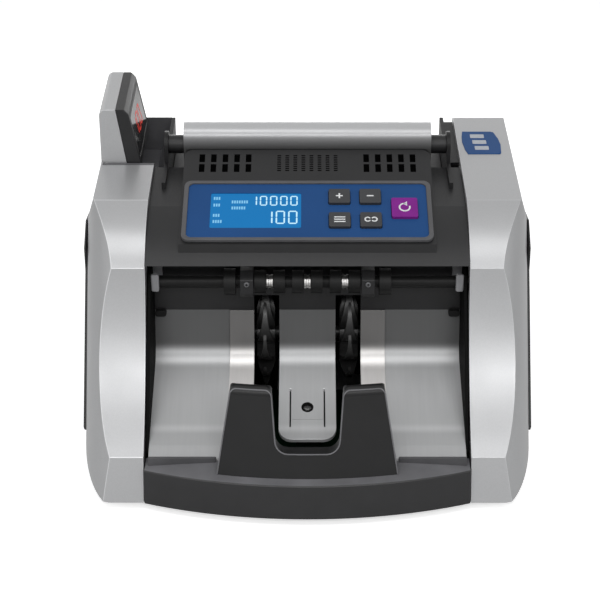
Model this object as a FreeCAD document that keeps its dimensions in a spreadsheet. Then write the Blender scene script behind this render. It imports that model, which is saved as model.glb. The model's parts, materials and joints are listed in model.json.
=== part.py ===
"""Banknote counting machine, modelled in millimetres.

X runs to the operator's right, Y to the rear and Z up. The origin is under the middle of the
machine, on the table. Every driving dimension is a cell of the sheet named Sizes, and each piece
takes its sizes and places from those cells.
"""
import FreeCAD, Part
import os
import re
import Sketcher

V = FreeCAD.Vector
doc = FreeCAD.newDocument("BanknoteCounter")
sheet = doc.addObject("Spreadsheet::Sheet", "Sizes")
pieces = []


# Sheet and expressions

def bound(text):
    """The expression as other objects read it, with each size named through the sheet."""
    words = re.compile(r"[A-Za-z_]\w*")
    return words.sub(lambda w: "Sizes." + w.group() if w.group() in SIZES else w.group(), str(text))


def val(text):
    """The present value of an expression."""
    return float(sheet.evalExpression(bound(text)))


def bind(obj, prop, text):
    obj.setExpression(prop, bound(text))


def bind_base(obj, x, y, z):
    for axis, text in zip("xyz", (x, y, z)):
        bind(obj, ".Placement.Base." + axis, text)


# Primitive solids bound to the sheet

def box(x0, x1, y0, y1, z0, z1):
    """A block between two corners."""
    obj = doc.addObject("Part::Box", "block")
    for prop, low, high in (("Length", x0, x1), ("Width", y0, y1), ("Height", z0, z1)):
        bind(obj, prop, "(%s) - (%s)" % (high, low))
    bind_base(obj, x0, y0, z0)
    return obj


TURN = {
    "x": FreeCAD.Rotation(V(0, 1, 0), 90),
    "y": FreeCAD.Rotation(V(1, 0, 0), -90),
    "z": FreeCAD.Rotation(),
}


def rod(axis, radius, start, end, a, b):
    """A cylinder along an axis; a and b are the two other coordinates in x, y, z order."""
    obj = doc.addObject("Part::Cylinder", "rod")
    obj.Placement = FreeCAD.Placement(V(), TURN[axis])
    bind(obj, "Radius", radius)
    bind(obj, "Height", "(%s) - (%s)" % (end, start))
    place = {"x": (start, a, b), "y": (a, start, b), "z": (a, b, start)}[axis]
    bind_base(obj, *place)
    return obj


PLANES = {"x": "YZ_Plane", "y": "XZ_Plane", "z": "XY_Plane"}


def draw(sketch, steps):
    """A closed outline. A step is a corner (u, v), or an arc to one: (mid u, mid v, u, v, radius).

    An arc's radius may be left out: it is then worked out from the three points.
    """
    corners = [step[:2] if len(step) == 2 else step[2:4] for step in steps]
    count = len(steps)
    for i, step in enumerate(steps):
        here = V(*[val(t) for t in corners[i - 1]], 0)
        there = V(*[val(t) for t in corners[i]], 0)
        if len(step) > 2:
            middle = V(*[val(t) for t in step[:2]], 0)
            anticlockwise = (middle - here).cross(there - middle).z > 0
            ends = (here, there) if anticlockwise else (there, here)
            sketch.addGeometry(Part.ArcOfCircle(ends[0], middle, ends[1]))
        else:
            sketch.addGeometry(Part.LineSegment(here, there))
    ends = [far_end(sketch.Geometry[i], V(*[val(t) for t in corners[i]], 0)) for i in range(count)]
    dimensions = []
    for i, step in enumerate(steps):
        for kind, text in zip(("DistanceX", "DistanceY"), corners[i]):
            dimensions.append((Sketcher.Constraint(kind, i, ends[i], val(text)), text))
        if len(step) > 2:
            radius = step[4] if len(step) == 5 else arc_radius(corners[i - 1], step[:2], corners[i])
            dimensions.append((Sketcher.Constraint("Radius", i, val(radius)), radius))
    joins = [Sketcher.Constraint("Coincident", i, ends[i], (i + 1) % count, 3 - ends[(i + 1) % count])
             for i in range(count)]
    sketch.addConstraint([constraint for constraint, _ in dimensions] + joins)
    for number, (_, text) in enumerate(dimensions):
        bind(sketch, "Constraints[%d]" % number, text)


def arc_radius(start, middle, end):
    """The radius of the circle through three points."""
    def gap(p, q):
        return "sqrt(((%s) - (%s))^2 + ((%s) - (%s))^2)" % (q[0], p[0], q[1], p[1])
    twice_area = "abs(((%s) - (%s))*((%s) - (%s)) - ((%s) - (%s))*((%s) - (%s)))" % (
        middle[0], start[0], end[1], start[1], end[0], start[0], middle[1], start[1])
    return "%s*%s*%s/(2*%s)" % (gap(start, middle), gap(middle, end), gap(start, end), twice_area)


def far_end(curve, corner):
    """Which end of a sketch edge, 1 or 2, lies on the corner that the edge runs to."""
    return 2 if (curve.EndPoint - corner).Length < (curve.StartPoint - corner).Length else 1


def prism(axis, start, end, steps):
    """A padded body: an outline drawn across an axis, from one coordinate on it to another."""
    body = doc.addObject("PartDesign::Body", "prism")
    sketch = body.newObject("Sketcher::SketchObject", "outline")
    plane = [f for f in body.Origin.OriginFeatures if f.Role == PLANES[axis]][0]
    sketch.AttachmentSupport = [(plane, "")]
    sketch.MapMode = "FlatFace"
    offset = "-(%s)" % end if axis == "y" else start
    bind(sketch, ".AttachmentOffset.Base.z", offset)
    draw(sketch, steps)
    pad = body.newObject("PartDesign::Pad", "pad")
    pad.Profile = sketch
    bind(pad, "Length", "(%s) - (%s)" % (end, start))
    return body


def turned(steps, centre_y):
    """A body of revolution about a vertical line on the machine's middle plane."""
    body = doc.addObject("PartDesign::Body", "turned")
    sketch = body.newObject("Sketcher::SketchObject", "section")
    plane = [f for f in body.Origin.OriginFeatures if f.Role == "XZ_Plane"][0]
    sketch.AttachmentSupport = [(plane, "")]
    sketch.MapMode = "FlatFace"
    draw(sketch, steps)
    spin = body.newObject("PartDesign::Revolution", "spin")
    spin.Profile = sketch
    spin.ReferenceAxis = (sketch, ["V_Axis"])
    spin.Angle = 360
    bind(body, ".Placement.Base.y", centre_y)
    return body


# Combining solids

def cut(base, *tools):
    for tool in tools:
        obj = doc.addObject("Part::Cut", "cut")
        obj.Base = base
        obj.Tool = tool
        base = obj
    return base


def fuse(*items):
    obj = doc.addObject("Part::MultiFuse", "fuse")
    obj.Shapes = list(items)
    obj.Refine = True
    return obj


def common(*items):
    obj = doc.addObject("Part::MultiCommon", "common")
    obj.Shapes = list(items)
    return obj


def group(items):
    obj = doc.addObject("Part::Compound", "group")
    obj.Links = list(items)
    return obj


def tilt(obj, y, z, angle):
    """Stand a piece that was drawn flat on a slope: its origin goes to y, z and it leans back."""
    obj.Placement = FreeCAD.Placement(V(), FreeCAD.Rotation(V(1, 0, 0), 1))
    bind_base(obj, "0", y, z)
    bind(obj, ".Placement.Rotation.Angle", angle)
    return obj


def piece(label, obj):
    """Name a finished sub-part."""
    obj.Label = label
    pieces.append(obj)
    return obj


def side(sign, near, far):
    """The two coordinates of a stretch on one side of the machine, in rising order."""
    return (near, far) if sign > 0 else ("-(%s)" % far, "-(%s)" % near)


SIDES = ((1, "right"), (-1, "left"))


SIZES = {
    # Driving dimensions: the whole machine
    "half_width": 145.5,
    "front_reach": 120,
    "rear_reach": 120,
    "foot_height": 5,
    "wall": 2.5,
    "clearance": 0.3,

    # Silver side panels: the outline of a panel seen from the side
    "panel_inner": 102,
    "panel_outer": 144,
    "panel_top_outer": 137.6,
    "panel_rear_gap": 3,
    "heel_back": 21,
    "chin_back": 29.4,
    "chin_height": 32.5,
    "brow_back": 82,
    "brow_height": 138,
    "front_hollow": 9,
    "shoulder_back": 118.4,
    "shoulder_height": 171.2,
    "shoulder_bulge": 3.8,
    "crown_height": 195.6,
    "crown_round": 8,
    "toe_round": 22,
    "facet_width": 21,
    "facet_depth": 50,
    "facet_bulge": 5.8,
    "belt_bay": 14,
    "panel_front_wall": 14,
    "panel_corner_wall": 52,
    "panel_top_wall": 6,

    # Dark trim and hand recess on the outer sides
    "trim_front": 2,
    "trim_rear": 104,
    "trim_low": 28,
    "trim_high": 152,
    "trim_cut": 14,
    "grip_front": 22,
    "grip_length": 64,
    "grip_low": 118,
    "grip_height": 24,
    "grip_depth": 16,

    # Base pan with its bowed nose
    "nose_radius": 270,
    "nose_lean": 4,
    "nose_height": 26,
    "ledge_height": 32,
    "ledge_depth": 32,
    "base_wall_height": 22,

    # Feet, and the side frames that carry the shafts
    "foot_radius": 8,
    "foot_offset": 84,
    "foot_front": -70,
    "foot_rear": 92,
    "frame_inner": 99.2,
    "frame_thickness": 2,
    "frame_setback": 8,
    "frame_top": 140,
    "running_gap": 0.05,

    # Stacker
    "horn_foot_back": 7,
    "horn_height": 81,
    "horn_lean": 17.5,
    "horn_thickness": 10,
    "horn_outer_top": 47.6,
    "horn_outer_foot": 58,
    "horn_gap_top": 21.9,
    "horn_gap_foot": 20,
    "horn_gap_round": 8,
    "horn_gap_height": 42,
    "horn_round": 4,
    "plate_thickness": 2,
    "plate_foot_back": 31,
    "plate_bend_back": 39,
    "plate_bend_height": 36,
    "plate_knee_back": 101,
    "plate_knee_height": 70,
    "plate_bend_run": 10,
    "plate_lip_back": 29,
    "plate_foot_height": 31,
    "skid_inner": 34.6,
    "skid_outer": 50.6,
    "skid_thickness": 1.2,
    "tongue_half_width": 18.3,
    "tongue_foot_back": 43,
    "tongue_round": 8,
    "slit_offset": 10.9,
    "slit_width": 0.8,
    "slit_length": 26,
    "eye_radius": 3.1,
    "eye_back": 64.5,
    "wheel_offset": 27.6,
    "wheel_width": 12,
    "fin_tip_width": 1.6,
    "fin_taper_radius": 20,
    "wheel_radius": 36,
    "wheel_hub_radius": 13,
    "wheel_back": 132,
    "wheel_height": 74,
    "fin_count": 10,
    "fin_sweep": 55,
    "fin_bow": 16,
    "fin_spread": 5,
    "shaft_radius": 4,

    # Note exit: rollers behind the lip of the upper cover
    "exit_back": 96,
    "exit_height": 124,
    "exit_roller_radius": 7.5,
    "exit_outer_radius": 8.6,
    "exit_roller_width": 7.4,
    "exit_roller_pitch": 12,
    "exit_outer_offset": 49.4,
    "exit_cover_back": 106,
    "exit_cover_low": 100.5,
    "exit_cover_high": "=exit_height + shaft_radius + 2*wall",
    "pad_width": 6,
    "sensor_offset": 38.5,
    "sensor_width": 8.6,
    "sensor_drop": 7.5,
    "sensor_depth": 4.5,

    # Upper cover and the raised console on it
    "cover_half_width": 101.7,
    "cover_thickness": 3,
    "cover_front_back": 81,
    "cover_front_height": 140,
    "cover_mid_back": 98,
    "cover_mid_height": 155,
    "cover_top_back": 120,
    "cover_top_height": 166.5,
    "cover_rear_back": 166,
    "cover_rear_height": 178.5,
    "console_half_width": 81,
    "console_foot_back": 88,
    "console_foot_height": 152,
    "console_slope": 27,
    "console_length": 56,
    "vent_slope": 28,
    "vent_length": 29.5,
    "vent_middle": 17,
    "console_round": 6,
    "bezel_margin": 1.5,
    "bezel_thickness": 2.6,
    "bezel_round": 5,
    "bezel_length": 53,
    "overlay_half_width": 76.5,
    "overlay_foot": 4,
    "overlay_length": 48,
    "overlay_thickness": 1.4,
    "screen_left": 62,
    "screen_right": 4,
    "screen_low": 13,
    "screen_high": 44,
    "screen_thickness": 0.9,
    "key_width": 13.6,
    "key_height": 12.6,
    "key_travel": 0.8,
    "key_proud": 1.8,
    "key_depth": 3,
    "key_round": 1.2,
    "key_near_column": 20.5,
    "key_far_column": 40.3,
    "key_low_row": 18.8,
    "key_high_row": 39.8,
    "reset_column": 62,
    "reset_row": 29.5,
    "reset_width": 16.6,
    "reset_height": 17,
    "slot_width": 3.7,
    "slot_length": 7.4,
    "slot_pitch": 7.65,
    "slot_row_pitch": 9.1,
    "slot_group_offset": 54,
    "grille_pitch": 5.3,
    "grille_row_pitch": 1.95,
    "grille_slot_width": 2.5,
    "grille_slot_length": 1.1,

    # Hopper at the rear of the top
    "bar_half_width": 82,
    "bar_front_back": 165,
    "bar_foot_height": 183,
    "bar_top_height": 207.2,
    "bar_depth": 20,
    "guide_inner": 92.6,
    "guide_thickness": 2.5,
    "guide_front_back": 140,
    "guide_rear_gap": 10,
    "guide_rear_back": "=front_reach + rear_reach - guide_rear_gap",
    "guide_foot": 15,
    "bed_front_back": 181,
    "bed_front_height": 166,
    "bed_slope": 12,
    "bed_rear_gap": 5.2,
    "bed_length": "=(front_reach + rear_reach - bed_rear_gap - bed_front_back)/cos(bed_slope)",
    "axle_radius": 6.2,
    "axle_height": 192,
    "pad_half_width": 14,
    "pad_gap": 0.8,
    "knob_radius": 9,
    "knob_length": 6,
    "knob_stem_radius": 4,
    "knob_seat": 3,
    "knob_offset": 40,
    "knob_height": 189,

    # Drive: motor, feed and pickup shafts, pulleys and belts
    "motor_rear_gap": 50,
    "motor_back": "=front_reach + rear_reach - motor_rear_gap",
    "motor_height": 40,
    "motor_radius": 22,
    "motor_length": 58,
    "motor_boss_radius": 11,
    "motor_boss_length": 7.2,
    "feed_back": 172,
    "feed_height": 150,
    "feed_radius": 16,
    "feed_width": 22,
    "feed_offset": 30,
    "pickup_back": 204,
    "pickup_height": 159.5,
    "pickup_radius": 14,
    "pickup_width": 14,
    "pickup_offset": 30,
    "motor_pulley_radius": 9,
    "exit_pulley_radius": 9,
    "wheel_pulley_radius": 16,
    "feed_pulley_radius": 12,
    "pickup_pulley_radius": 10,
    "belt_inset": 1.5,
    "belt_width": 4,
    "belt_thickness": 1.2,

    # Back, boards and supply
    "rear_half_width": 132,
    "rear_low": 12,
    "rear_slot_pitch": 11,
    "rear_slot_width": 3,
    "rear_high": 152,
    "rear_neck_half_width": 96,
    "rear_neck_high": 174,
    "inlet_offset": 70,
    "inlet_height": 40,
    "inlet_half_width": 13.5,
    "inlet_half_height": 10,
    "inlet_depth": 20,
    "switch_offset": 38,
    "switch_half_width": 9.5,
    "switch_half_height": 6.5,
    "switch_tilt": 14,
    "switch_depth": 8,
    "pivot_radius": 1.5,
    "board_half_width": 80,
    "board_front": -56,
    "board_rear": 40,
    "board_height": 16,
    "board_thickness": 1.6,
    "supply_left": 92,
    "supply_right": 22,
    "supply_depth": 54,
    "supply_rear": "=rear_reach - panel_rear_gap - 2*wall",
    "supply_front": "=supply_rear - supply_depth",
    "supply_height": 46,

    # Flip-up display lid; heights and depths are measured from the crown line of the left panel
    "lid_front_back": 167,
    "lid_rear_gap": 17.4,
    "lid_length": "=front_reach + rear_reach - lid_front_back - lid_rear_gap",
    "lid_height": 34.6,
    "lid_foot_drop": 2,
    "lid_outer": 137.4,
    "lid_seam_top": 126.6,
    "lid_seam_foot": 120.4,
    "lid_face_top": 118,
    "lid_face_foot": 110.7,
    "lid_chamfer": 3,
    "lid_round": 4,
    "lid_pin_radius": 1,
    "pin_seat": 1.7,
    "barrel_radius": 2,
    "hinge_offset": 134,
    "hinge_drop": 1.4,
    "cradle_depth": 26,
    "cradle_rim": 12,
    "window_margin": 4,
    "window_thickness": 1.5,
}

for row, (alias, value) in enumerate(SIZES.items(), 1):
    sheet.set("A%d" % row, alias)
    sheet.set("B%d" % row, str(value))
    sheet.setAlias("B%d" % row, alias)

doc.recompute()

LEAN = "atan2(brow_back - chin_back; brow_height - chin_height)"
SHOULDER = "atan2(shoulder_height - brow_height; shoulder_back - brow_back)"
FRONT = "(-front_reach)"
PANEL_REAR = "(rear_reach - panel_rear_gap)"


def back(name):
    """The Y of a size that is measured back from the front of the machine."""
    return "(%s - front_reach)" % name


# Lines that the shafts turn on, as Y and Z
EXIT_LINE = (back("exit_back"), "exit_height")
WHEEL_LINE = (back("wheel_back"), "wheel_height")
MOTOR_LINE = (back("motor_back"), "motor_height")
FEED_LINE = (back("feed_back"), "feed_height")
PICKUP_LINE = (back("pickup_back"), "pickup_height")

# Silver side panels

CROWN_Y = "(rear_reach - panel_rear_gap - crown_round)"
MID_ROUND = "sin(45)"
CROWN_SLOPE = "atan2(crown_height - shoulder_height; %s - %s)" % (CROWN_Y, back("shoulder_back"))
LID_ROOM = ("(lid_front_back - shoulder_back - clearance)",
            "((lid_front_back - shoulder_back + lid_length)/cos(%s) + lid_height*tan(%s) + clearance)"
            % (CROWN_SLOPE, CROWN_SLOPE))
CRADLE_OUTER = "(-hinge_offset - barrel_radius - clearance)"


def on_crown(obj):
    """Stand a piece drawn level on a panel's crown: Y runs up it from the shoulder, Z out of it."""
    return tilt(obj, back("shoulder_back"), "shoulder_height", CROWN_SLOPE)


def panel_profile():
    """The panel from the side: toe, chin, hollow front, brow, shoulder, crown and back."""
    return [
        (back("heel_back"), "foot_height"),
        (back("chin_back"), "chin_height"),
        ("(chin_back + brow_back)/2 - front_reach + front_hollow*cos(%s)" % LEAN,
         "(chin_height + brow_height)/2 - front_hollow*sin(%s)" % LEAN,
         back("brow_back"), "brow_height"),
        ("(brow_back + shoulder_back)/2 - front_reach - shoulder_bulge*sin(%s)" % SHOULDER,
         "(brow_height + shoulder_height)/2 + shoulder_bulge*cos(%s)" % SHOULDER,
         back("shoulder_back"), "shoulder_height"),
        (CROWN_Y, "crown_height"),
        ("%s + crown_round*%s" % (CROWN_Y, MID_ROUND),
         "crown_height - crown_round*(1 - %s)" % MID_ROUND,
         PANEL_REAR, "crown_height - crown_round"),
        (PANEL_REAR, "foot_height"),
    ]


def panel_hollow(front_wall, floor):
    """The outline of the space inside a panel, a wall's thickness behind its faces."""
    return [
        (back("chin_back + %s" % front_wall), floor),
        (back("brow_back + %s" % front_wall), "brow_height - panel_top_wall"),
        (back("shoulder_back + %s" % front_wall), "shoulder_height - panel_top_wall"),
        (CROWN_Y, "crown_height - panel_top_wall"),
        ("%s - wall" % PANEL_REAR, "crown_height - crown_round - panel_top_wall"),
        ("%s - wall" % PANEL_REAR, floor),
    ]


def signed(sign, text):
    return text if sign > 0 else "-(%s)" % text


def panel_end_view(sign):
    """The panel from the front: straight inner side, rounded outer toe, outer side drawn in above."""
    corner = "toe_round*(1 - %s)" % MID_ROUND
    return [
        (signed(sign, "panel_inner"), "foot_height"),
        (signed(sign, "panel_outer - toe_round"), "foot_height"),
        (signed(sign, "panel_outer - %s" % corner), "foot_height + %s" % corner,
         signed(sign, "panel_outer"), "foot_height + toe_round"),
        (signed(sign, "panel_outer"), "trim_high"),
        (signed(sign, "panel_top_outer"), "shoulder_height"),
        (signed(sign, "panel_top_outer"), "crown_height"),
        (signed(sign, "panel_inner"), "crown_height"),
    ]


def facet_tool(sign):
    """What is cut from a panel's front outer corner: a bowed facet that leans with the front."""
    slope = "atan2(facet_width; facet_depth)"
    margin = "toe_round"
    plan = [
        (signed(sign, "panel_outer - facet_width"), "0"),
        (signed(sign, "panel_outer - facet_width/2 + facet_bulge*cos(%s)" % slope),
         "facet_depth/2 - facet_bulge*sin(%s)" % slope,
         signed(sign, "panel_outer"), "facet_depth"),
        (signed(sign, "panel_outer + %s" % margin), "facet_depth"),
        (signed(sign, "panel_outer + %s" % margin), "-2*%s" % margin),
        (signed(sign, "panel_outer - facet_width"), "-2*%s" % margin),
    ]
    tool = prism("z", "-chin_height*3", "crown_height*1.5", plan)
    return tilt(tool, back("chin_back"), "chin_height", "-(%s)" % LEAN)


def grip_cup(sign, grow):
    """The hand recess in a panel's outer side, grown by a wall's thickness or not at all."""
    x = side(sign, "panel_outer - grip_depth - (%s)" % grow, "half_width")
    return box(*x, "grip_front - (%s)" % grow, "grip_front + grip_length + (%s)" % grow,
               "grip_low - (%s)" % grow, "grip_low + grip_height + (%s)" % grow)


def side_panel(sign, name):
    full = prism("x", *side(sign, "panel_inner", "panel_outer"), panel_profile())
    end_view = prism("y", FRONT, "rear_reach", panel_end_view(sign))
    bay = prism("x", *side(sign, "panel_inner", "panel_inner + belt_bay"),
                panel_hollow("panel_front_wall", "foot_height + wall"))
    corner = prism("x", *side(sign, "panel_inner + belt_bay", "panel_top_outer - wall"),
                   panel_hollow("panel_corner_wall", "foot_height + toe_round"))
    shell = cut(common(full, end_view), facet_tool(sign), bay, corner, grip_cup(sign, "wall"))
    if sign > 0:
        belt_room = loop_outline(drive_rounds(), "(belt_thickness + 4*clearance)")
        shell = cut(shell, prism("x", "panel_inner", "panel_inner + belt_bay", belt_room))
    if sign < 0:
        opening = box(CRADLE_OUTER, "-panel_inner + wall", LID_ROOM[0] + " - wall",
                      LID_ROOM[1] + " + wall", "-cradle_depth - wall", "lid_height")
        shell = cut(shell, on_crown(group([opening])))
    piece(name + "_side_panel", shell)


def side_trim(sign, name):
    """Dark strip along the outer side, with the moulded hand recess behind it."""
    outline = [
        ("trim_front", "trim_low"),
        ("trim_front", "trim_high - trim_cut"),
        ("trim_front + trim_cut", "trim_high"),
        ("trim_rear", "trim_high"),
        ("trim_rear", "trim_low"),
    ]
    plate = prism("x", *side(sign, "panel_outer", "half_width"), outline)
    solid = fuse(plate, grip_cup(sign, "wall"))
    piece(name + "_side_trim", cut(solid, grip_cup(sign, "0")))


# Base pan, feet and side frames

NOSE_CENTRE = "(nose_radius - front_reach)"


def base_pan():
    """Bowed front skin turned about a line far behind it, with a floor, side walls and a back."""
    skin = turned([
        ("nose_radius", "foot_height"),
        ("nose_radius - nose_lean", "nose_height"),
        ("nose_radius - nose_lean - ledge_depth", "ledge_height"),
        ("nose_radius - nose_lean - ledge_depth", "ledge_height - wall"),
        ("nose_radius - nose_lean - wall", "nose_height - wall"),
        ("nose_radius - wall", "foot_height"),
    ], NOSE_CENTRE)
    plan = turned([
        ("0", "foot_height"), ("nose_radius - wall/2", "foot_height"),
        ("nose_radius - wall/2", "foot_height + wall"), ("0", "foot_height + wall"),
    ], NOSE_CENTRE)
    edge = "(panel_inner - clearance)"
    room = box("-" + edge, edge, FRONT, PANEL_REAR, "0", "crown_height")
    front_room = box("-" + edge, edge, FRONT, back("chin_back + frame_setback - clearance"),
                     "0", "crown_height")
    frame_edge = "(frame_inner - clearance)"
    low, high = "foot_height", "base_wall_height"
    walls = [
        box("-" + frame_edge, "-%s + wall" % frame_edge, back("plate_knee_back"), PANEL_REAR, low, high),
        box(frame_edge + " - wall", frame_edge, back("plate_knee_back"), PANEL_REAR, low, high),
        box("-" + frame_edge, frame_edge, "%s - wall" % PANEL_REAR, PANEL_REAR, low, high),
    ]
    return piece("base_pan", fuse(common(skin, front_room), common(plan, room), *walls))


def feet():
    pads = []
    for sign, _ in SIDES:
        for y in ("foot_front", "foot_rear"):
            x = signed(sign, "foot_offset")
            pads.append(rod("z", "foot_radius", "0", "foot_height", x, y))
    piece("rubber_feet", group(pads))


def side_frame(sign, name):
    """Steel plate that carries every shaft; it stands on the base pan's edge inside the panel."""
    plate = prism("x", *side(sign, "frame_inner", "frame_inner + frame_thickness"), [
        (back("chin_back + frame_setback"), "foot_height + wall"),
        (back("chin_back + frame_setback"), "chin_height"),
        (back("brow_back + frame_setback"), "brow_height - frame_setback"),
        (back("shoulder_back"), "frame_top"),
        ("%s - wall" % PANEL_REAR, "frame_top"),
        ("%s - wall" % PANEL_REAR, "foot_height + wall"),
    ])
    x = side(sign, "frame_inner - wall", "frame_inner + frame_thickness + wall")
    holes = [rod("x", "shaft_radius + running_gap", *x, *line) for line in (EXIT_LINE, WHEEL_LINE)]
    if sign > 0:
        holes.append(rod("x", "shaft_radius + clearance", *x, *MOTOR_LINE))
    piece(name + "_side_frame", cut(plate, *holes))


# Stacker

def ledge_block():
    """Everything under the top of the nose and its ledge, which cuts what stands on them."""
    return turned([
        ("0", "foot_height"),
        ("nose_radius", "foot_height"),
        ("nose_radius - nose_lean", "nose_height"),
        ("nose_radius - nose_lean - ledge_depth", "ledge_height"),
        ("0", "ledge_height"),
    ], NOSE_CENTRE)


def stacker_guide():
    """U-shaped pair of horns that stands on the ledge and follows the bow of the nose."""
    foot_radius_out = "(nose_radius - horn_foot_back)"
    low = "nose_height/2"
    tip = "(%s - horn_lean)" % foot_radius_out
    wall_band = turned([
        (foot_radius_out, low),
        (tip, "horn_height - horn_thickness/2"),
        (tip + " - horn_thickness/2 + horn_thickness/2*sin(45)",
         "horn_height - horn_thickness/2*(1 - sin(45))", tip + " - horn_thickness/2", "horn_height"),
        (tip + " - horn_thickness/2 - horn_thickness/2*sin(45)",
         "horn_height - horn_thickness/2*(1 - sin(45))",
         tip + " - horn_thickness", "horn_height - horn_thickness/2"),
        (foot_radius_out + " - horn_thickness", low),
    ], NOSE_CENTRE)
    corner = "horn_round*(1 - %s)" % MID_ROUND
    below_tip = "horn_height - horn_round"
    outline = []
    outline += [("horn_outer_foot", low), ("horn_outer_top", below_tip)]
    outline += [("horn_outer_top - " + corner, "horn_height - " + corner,
                 "horn_outer_top - horn_round", "horn_height")]
    outline += [("horn_gap_top + horn_round", "horn_height")]
    outline += [("horn_gap_top + " + corner, "horn_height - " + corner, "horn_gap_top", below_tip)]
    bowl = "horn_gap_round*(1 - %s)" % MID_ROUND
    outline += [("horn_gap_foot", "horn_gap_height + horn_gap_round")]
    outline += [("horn_gap_foot - " + bowl, "horn_gap_height + " + bowl,
                 "horn_gap_foot - horn_gap_round", "horn_gap_height")]
    outline += [("horn_gap_round - horn_gap_foot", "horn_gap_height")]
    outline += [("-horn_gap_foot + " + bowl, "horn_gap_height + " + bowl,
                 "-horn_gap_foot", "horn_gap_height + horn_gap_round")]
    outline += [("-horn_gap_top", below_tip)]
    outline += [("-horn_gap_top - " + corner, "horn_height - " + corner,
                 "-horn_gap_top - horn_round", "horn_height")]
    outline += [("-horn_outer_top + horn_round", "horn_height")]
    outline += [("-horn_outer_top + " + corner, "horn_height - " + corner,
                 "-horn_outer_top", below_tip)]
    outline += [("-horn_outer_foot", low)]
    shape = prism("y", FRONT, back("plate_bend_back"), outline)
    piece("stacker_guide", cut(common(wall_band, shape), ledge_block()))


def bend(before, corner, after):
    """The run of sheet round a corner: a point on the first leg, then the arc to the second leg."""
    legs = ["atan2(%s - %s; %s - %s)" % (end[1], corner[1], end[0], corner[0]) for end in (before, after)]
    half = "((%s - %s)/2)" % (legs[1], legs[0])
    middle = "plate_bend_run*(1 - sin(%s))/cos(%s)" % (half, half)
    legs.insert(1, "((%s + %s)/2)" % tuple(legs))
    points = [("%s + %s*cos(%s)" % (corner[0], run, leg), "%s + %s*sin(%s)" % (corner[1], run, leg))
              for run, leg in zip(("plate_bend_run", middle, "plate_bend_run"), legs)]
    return [points[0], points[1] + points[2] + ("abs(plate_bend_run*tan(%s))" % half,)]


def plate_run(low_back, knee_back, top_back):
    """One surface of the stacker plate from the side: up the slope, round the knee and up."""
    low = (back(low_back), "plate_bend_height")
    knee = (back(knee_back), "plate_knee_height")
    top = (back(top_back), "exit_cover_low")
    return [low] + bend(low, knee, top) + [top]


def reverse_run(steps):
    """The same run of corners and arcs drawn the other way."""
    corners = [step[:2] if len(step) == 2 else step[2:4] for step in steps]
    turned_round = [corners[-1]]
    for i in range(len(steps) - 1, 0, -1):
        arc = steps[i][:2] + corners[i - 1] + steps[i][4:] if len(steps[i]) > 2 else corners[i - 1]
        turned_round.append(arc)
    return turned_round


def plate_section():
    """The bent stacker plate from the side: lip, foot, slope and upright."""
    rear = plate_run("plate_bend_back + 2*plate_thickness", "plate_knee_back + 2*plate_thickness",
                     "exit_cover_back + plate_thickness")
    return [
        (back("plate_lip_back"), "nose_height - wall"),
        (back("plate_foot_back"), "plate_foot_height"),
        *plate_run("plate_bend_back", "plate_knee_back", "exit_cover_back"),
        *reverse_run(rear),
        (back("plate_foot_back + plate_thickness"), "plate_foot_height"),
        (back("plate_lip_back + plate_thickness"), "nose_height - wall"),
    ]


def stacker_plate(sign, name):
    bent = prism("x", *side(sign, "skid_inner", "frame_inner"), plate_section())
    piece(name + "_stacker_plate", cut(bent, ledge_block()))


def stacker_tongue():
    """Middle strip between the wheels: rounded foot, a sensor eye and a slit on each side of it."""
    bent = prism("x", "-tongue_half_width", "tongue_half_width", plate_section())
    plan = plaque("-tongue_half_width", "tongue_half_width", back("tongue_foot_back"),
                  back("exit_cover_back + tongue_round + wall"), "0", "crown_height", "tongue_round")
    eye = rod("z", "eye_radius", "ledge_height", "horn_height", "0", back("eye_back"))
    slits = [box(*side(sign, "slit_offset - slit_width/2", "slit_offset + slit_width/2"),
                 back("eye_back - slit_length/2"), back("eye_back + slit_length/2"),
                 "ledge_height", "horn_height") for sign, _ in SIDES]
    piece("stacker_tongue", cut(common(bent, plan), eye, group(slits)))


def stacker_skid(sign, name):
    """Bright strip on the plate beside a wheel slot."""
    strip = prism("x", *side(sign, "skid_inner", "skid_outer"), [
        *plate_run("plate_bend_back - 2*skid_thickness", "plate_knee_back - 2*skid_thickness",
                   "exit_cover_back - skid_thickness"),
        *reverse_run(plate_run("plate_bend_back", "plate_knee_back", "exit_cover_back")),
    ])
    piece(name + "_stacker_skid", strip)


# Rotors: each shaft with what turns on it

SHAFT_END = "(frame_inner + frame_thickness)"
BELT_ONE = ("(panel_inner + belt_inset)", "(panel_inner + belt_inset + belt_width)")
BELT_TWO = ("(%s + belt_inset/2)" % BELT_ONE[1], "(%s + belt_inset/2 + belt_width)" % BELT_ONE[1])


def roller(line, radius, middle, width):
    return rod("x", radius, "%s - %s/2" % (middle, width), "%s + %s/2" % (middle, width), *line)


def polar(radius, angle):
    return ("%s*cos(%s)" % (radius, angle), "%s*sin(%s)" % (radius, angle))


def fin(middle, number):
    """One swept blade: two like arcs from the hub to the tip, turned a little from each other."""
    mean = "(wheel_hub_radius + wheel_radius)/2"
    root = "(wheel_hub_radius - wall)"
    blade = prism("x", "%s - wheel_width/2" % middle, "%s + wheel_width/2" % middle, [
        polar(root, "0"),
        polar(mean, "-fin_bow") + polar("wheel_radius", "-fin_sweep"),
        polar("wheel_radius", "fin_spread - fin_sweep"),
        polar(mean, "fin_spread - fin_bow") + polar(root, "2*fin_spread"),
    ])
    return tilt(blade, *WHEEL_LINE, "%d*360/fin_count" % number)


def cone(low_radius, high_radius, start, end, line):
    """A cone across the machine."""
    obj = doc.addObject("Part::Cone", "cone")
    obj.Placement = FreeCAD.Placement(V(), TURN["x"])
    bind(obj, "Radius1", low_radius)
    bind(obj, "Radius2", high_radius)
    bind(obj, "Height", "(%s) - (%s)" % (end, start))
    bind_base(obj, start, *line)
    return obj


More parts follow.
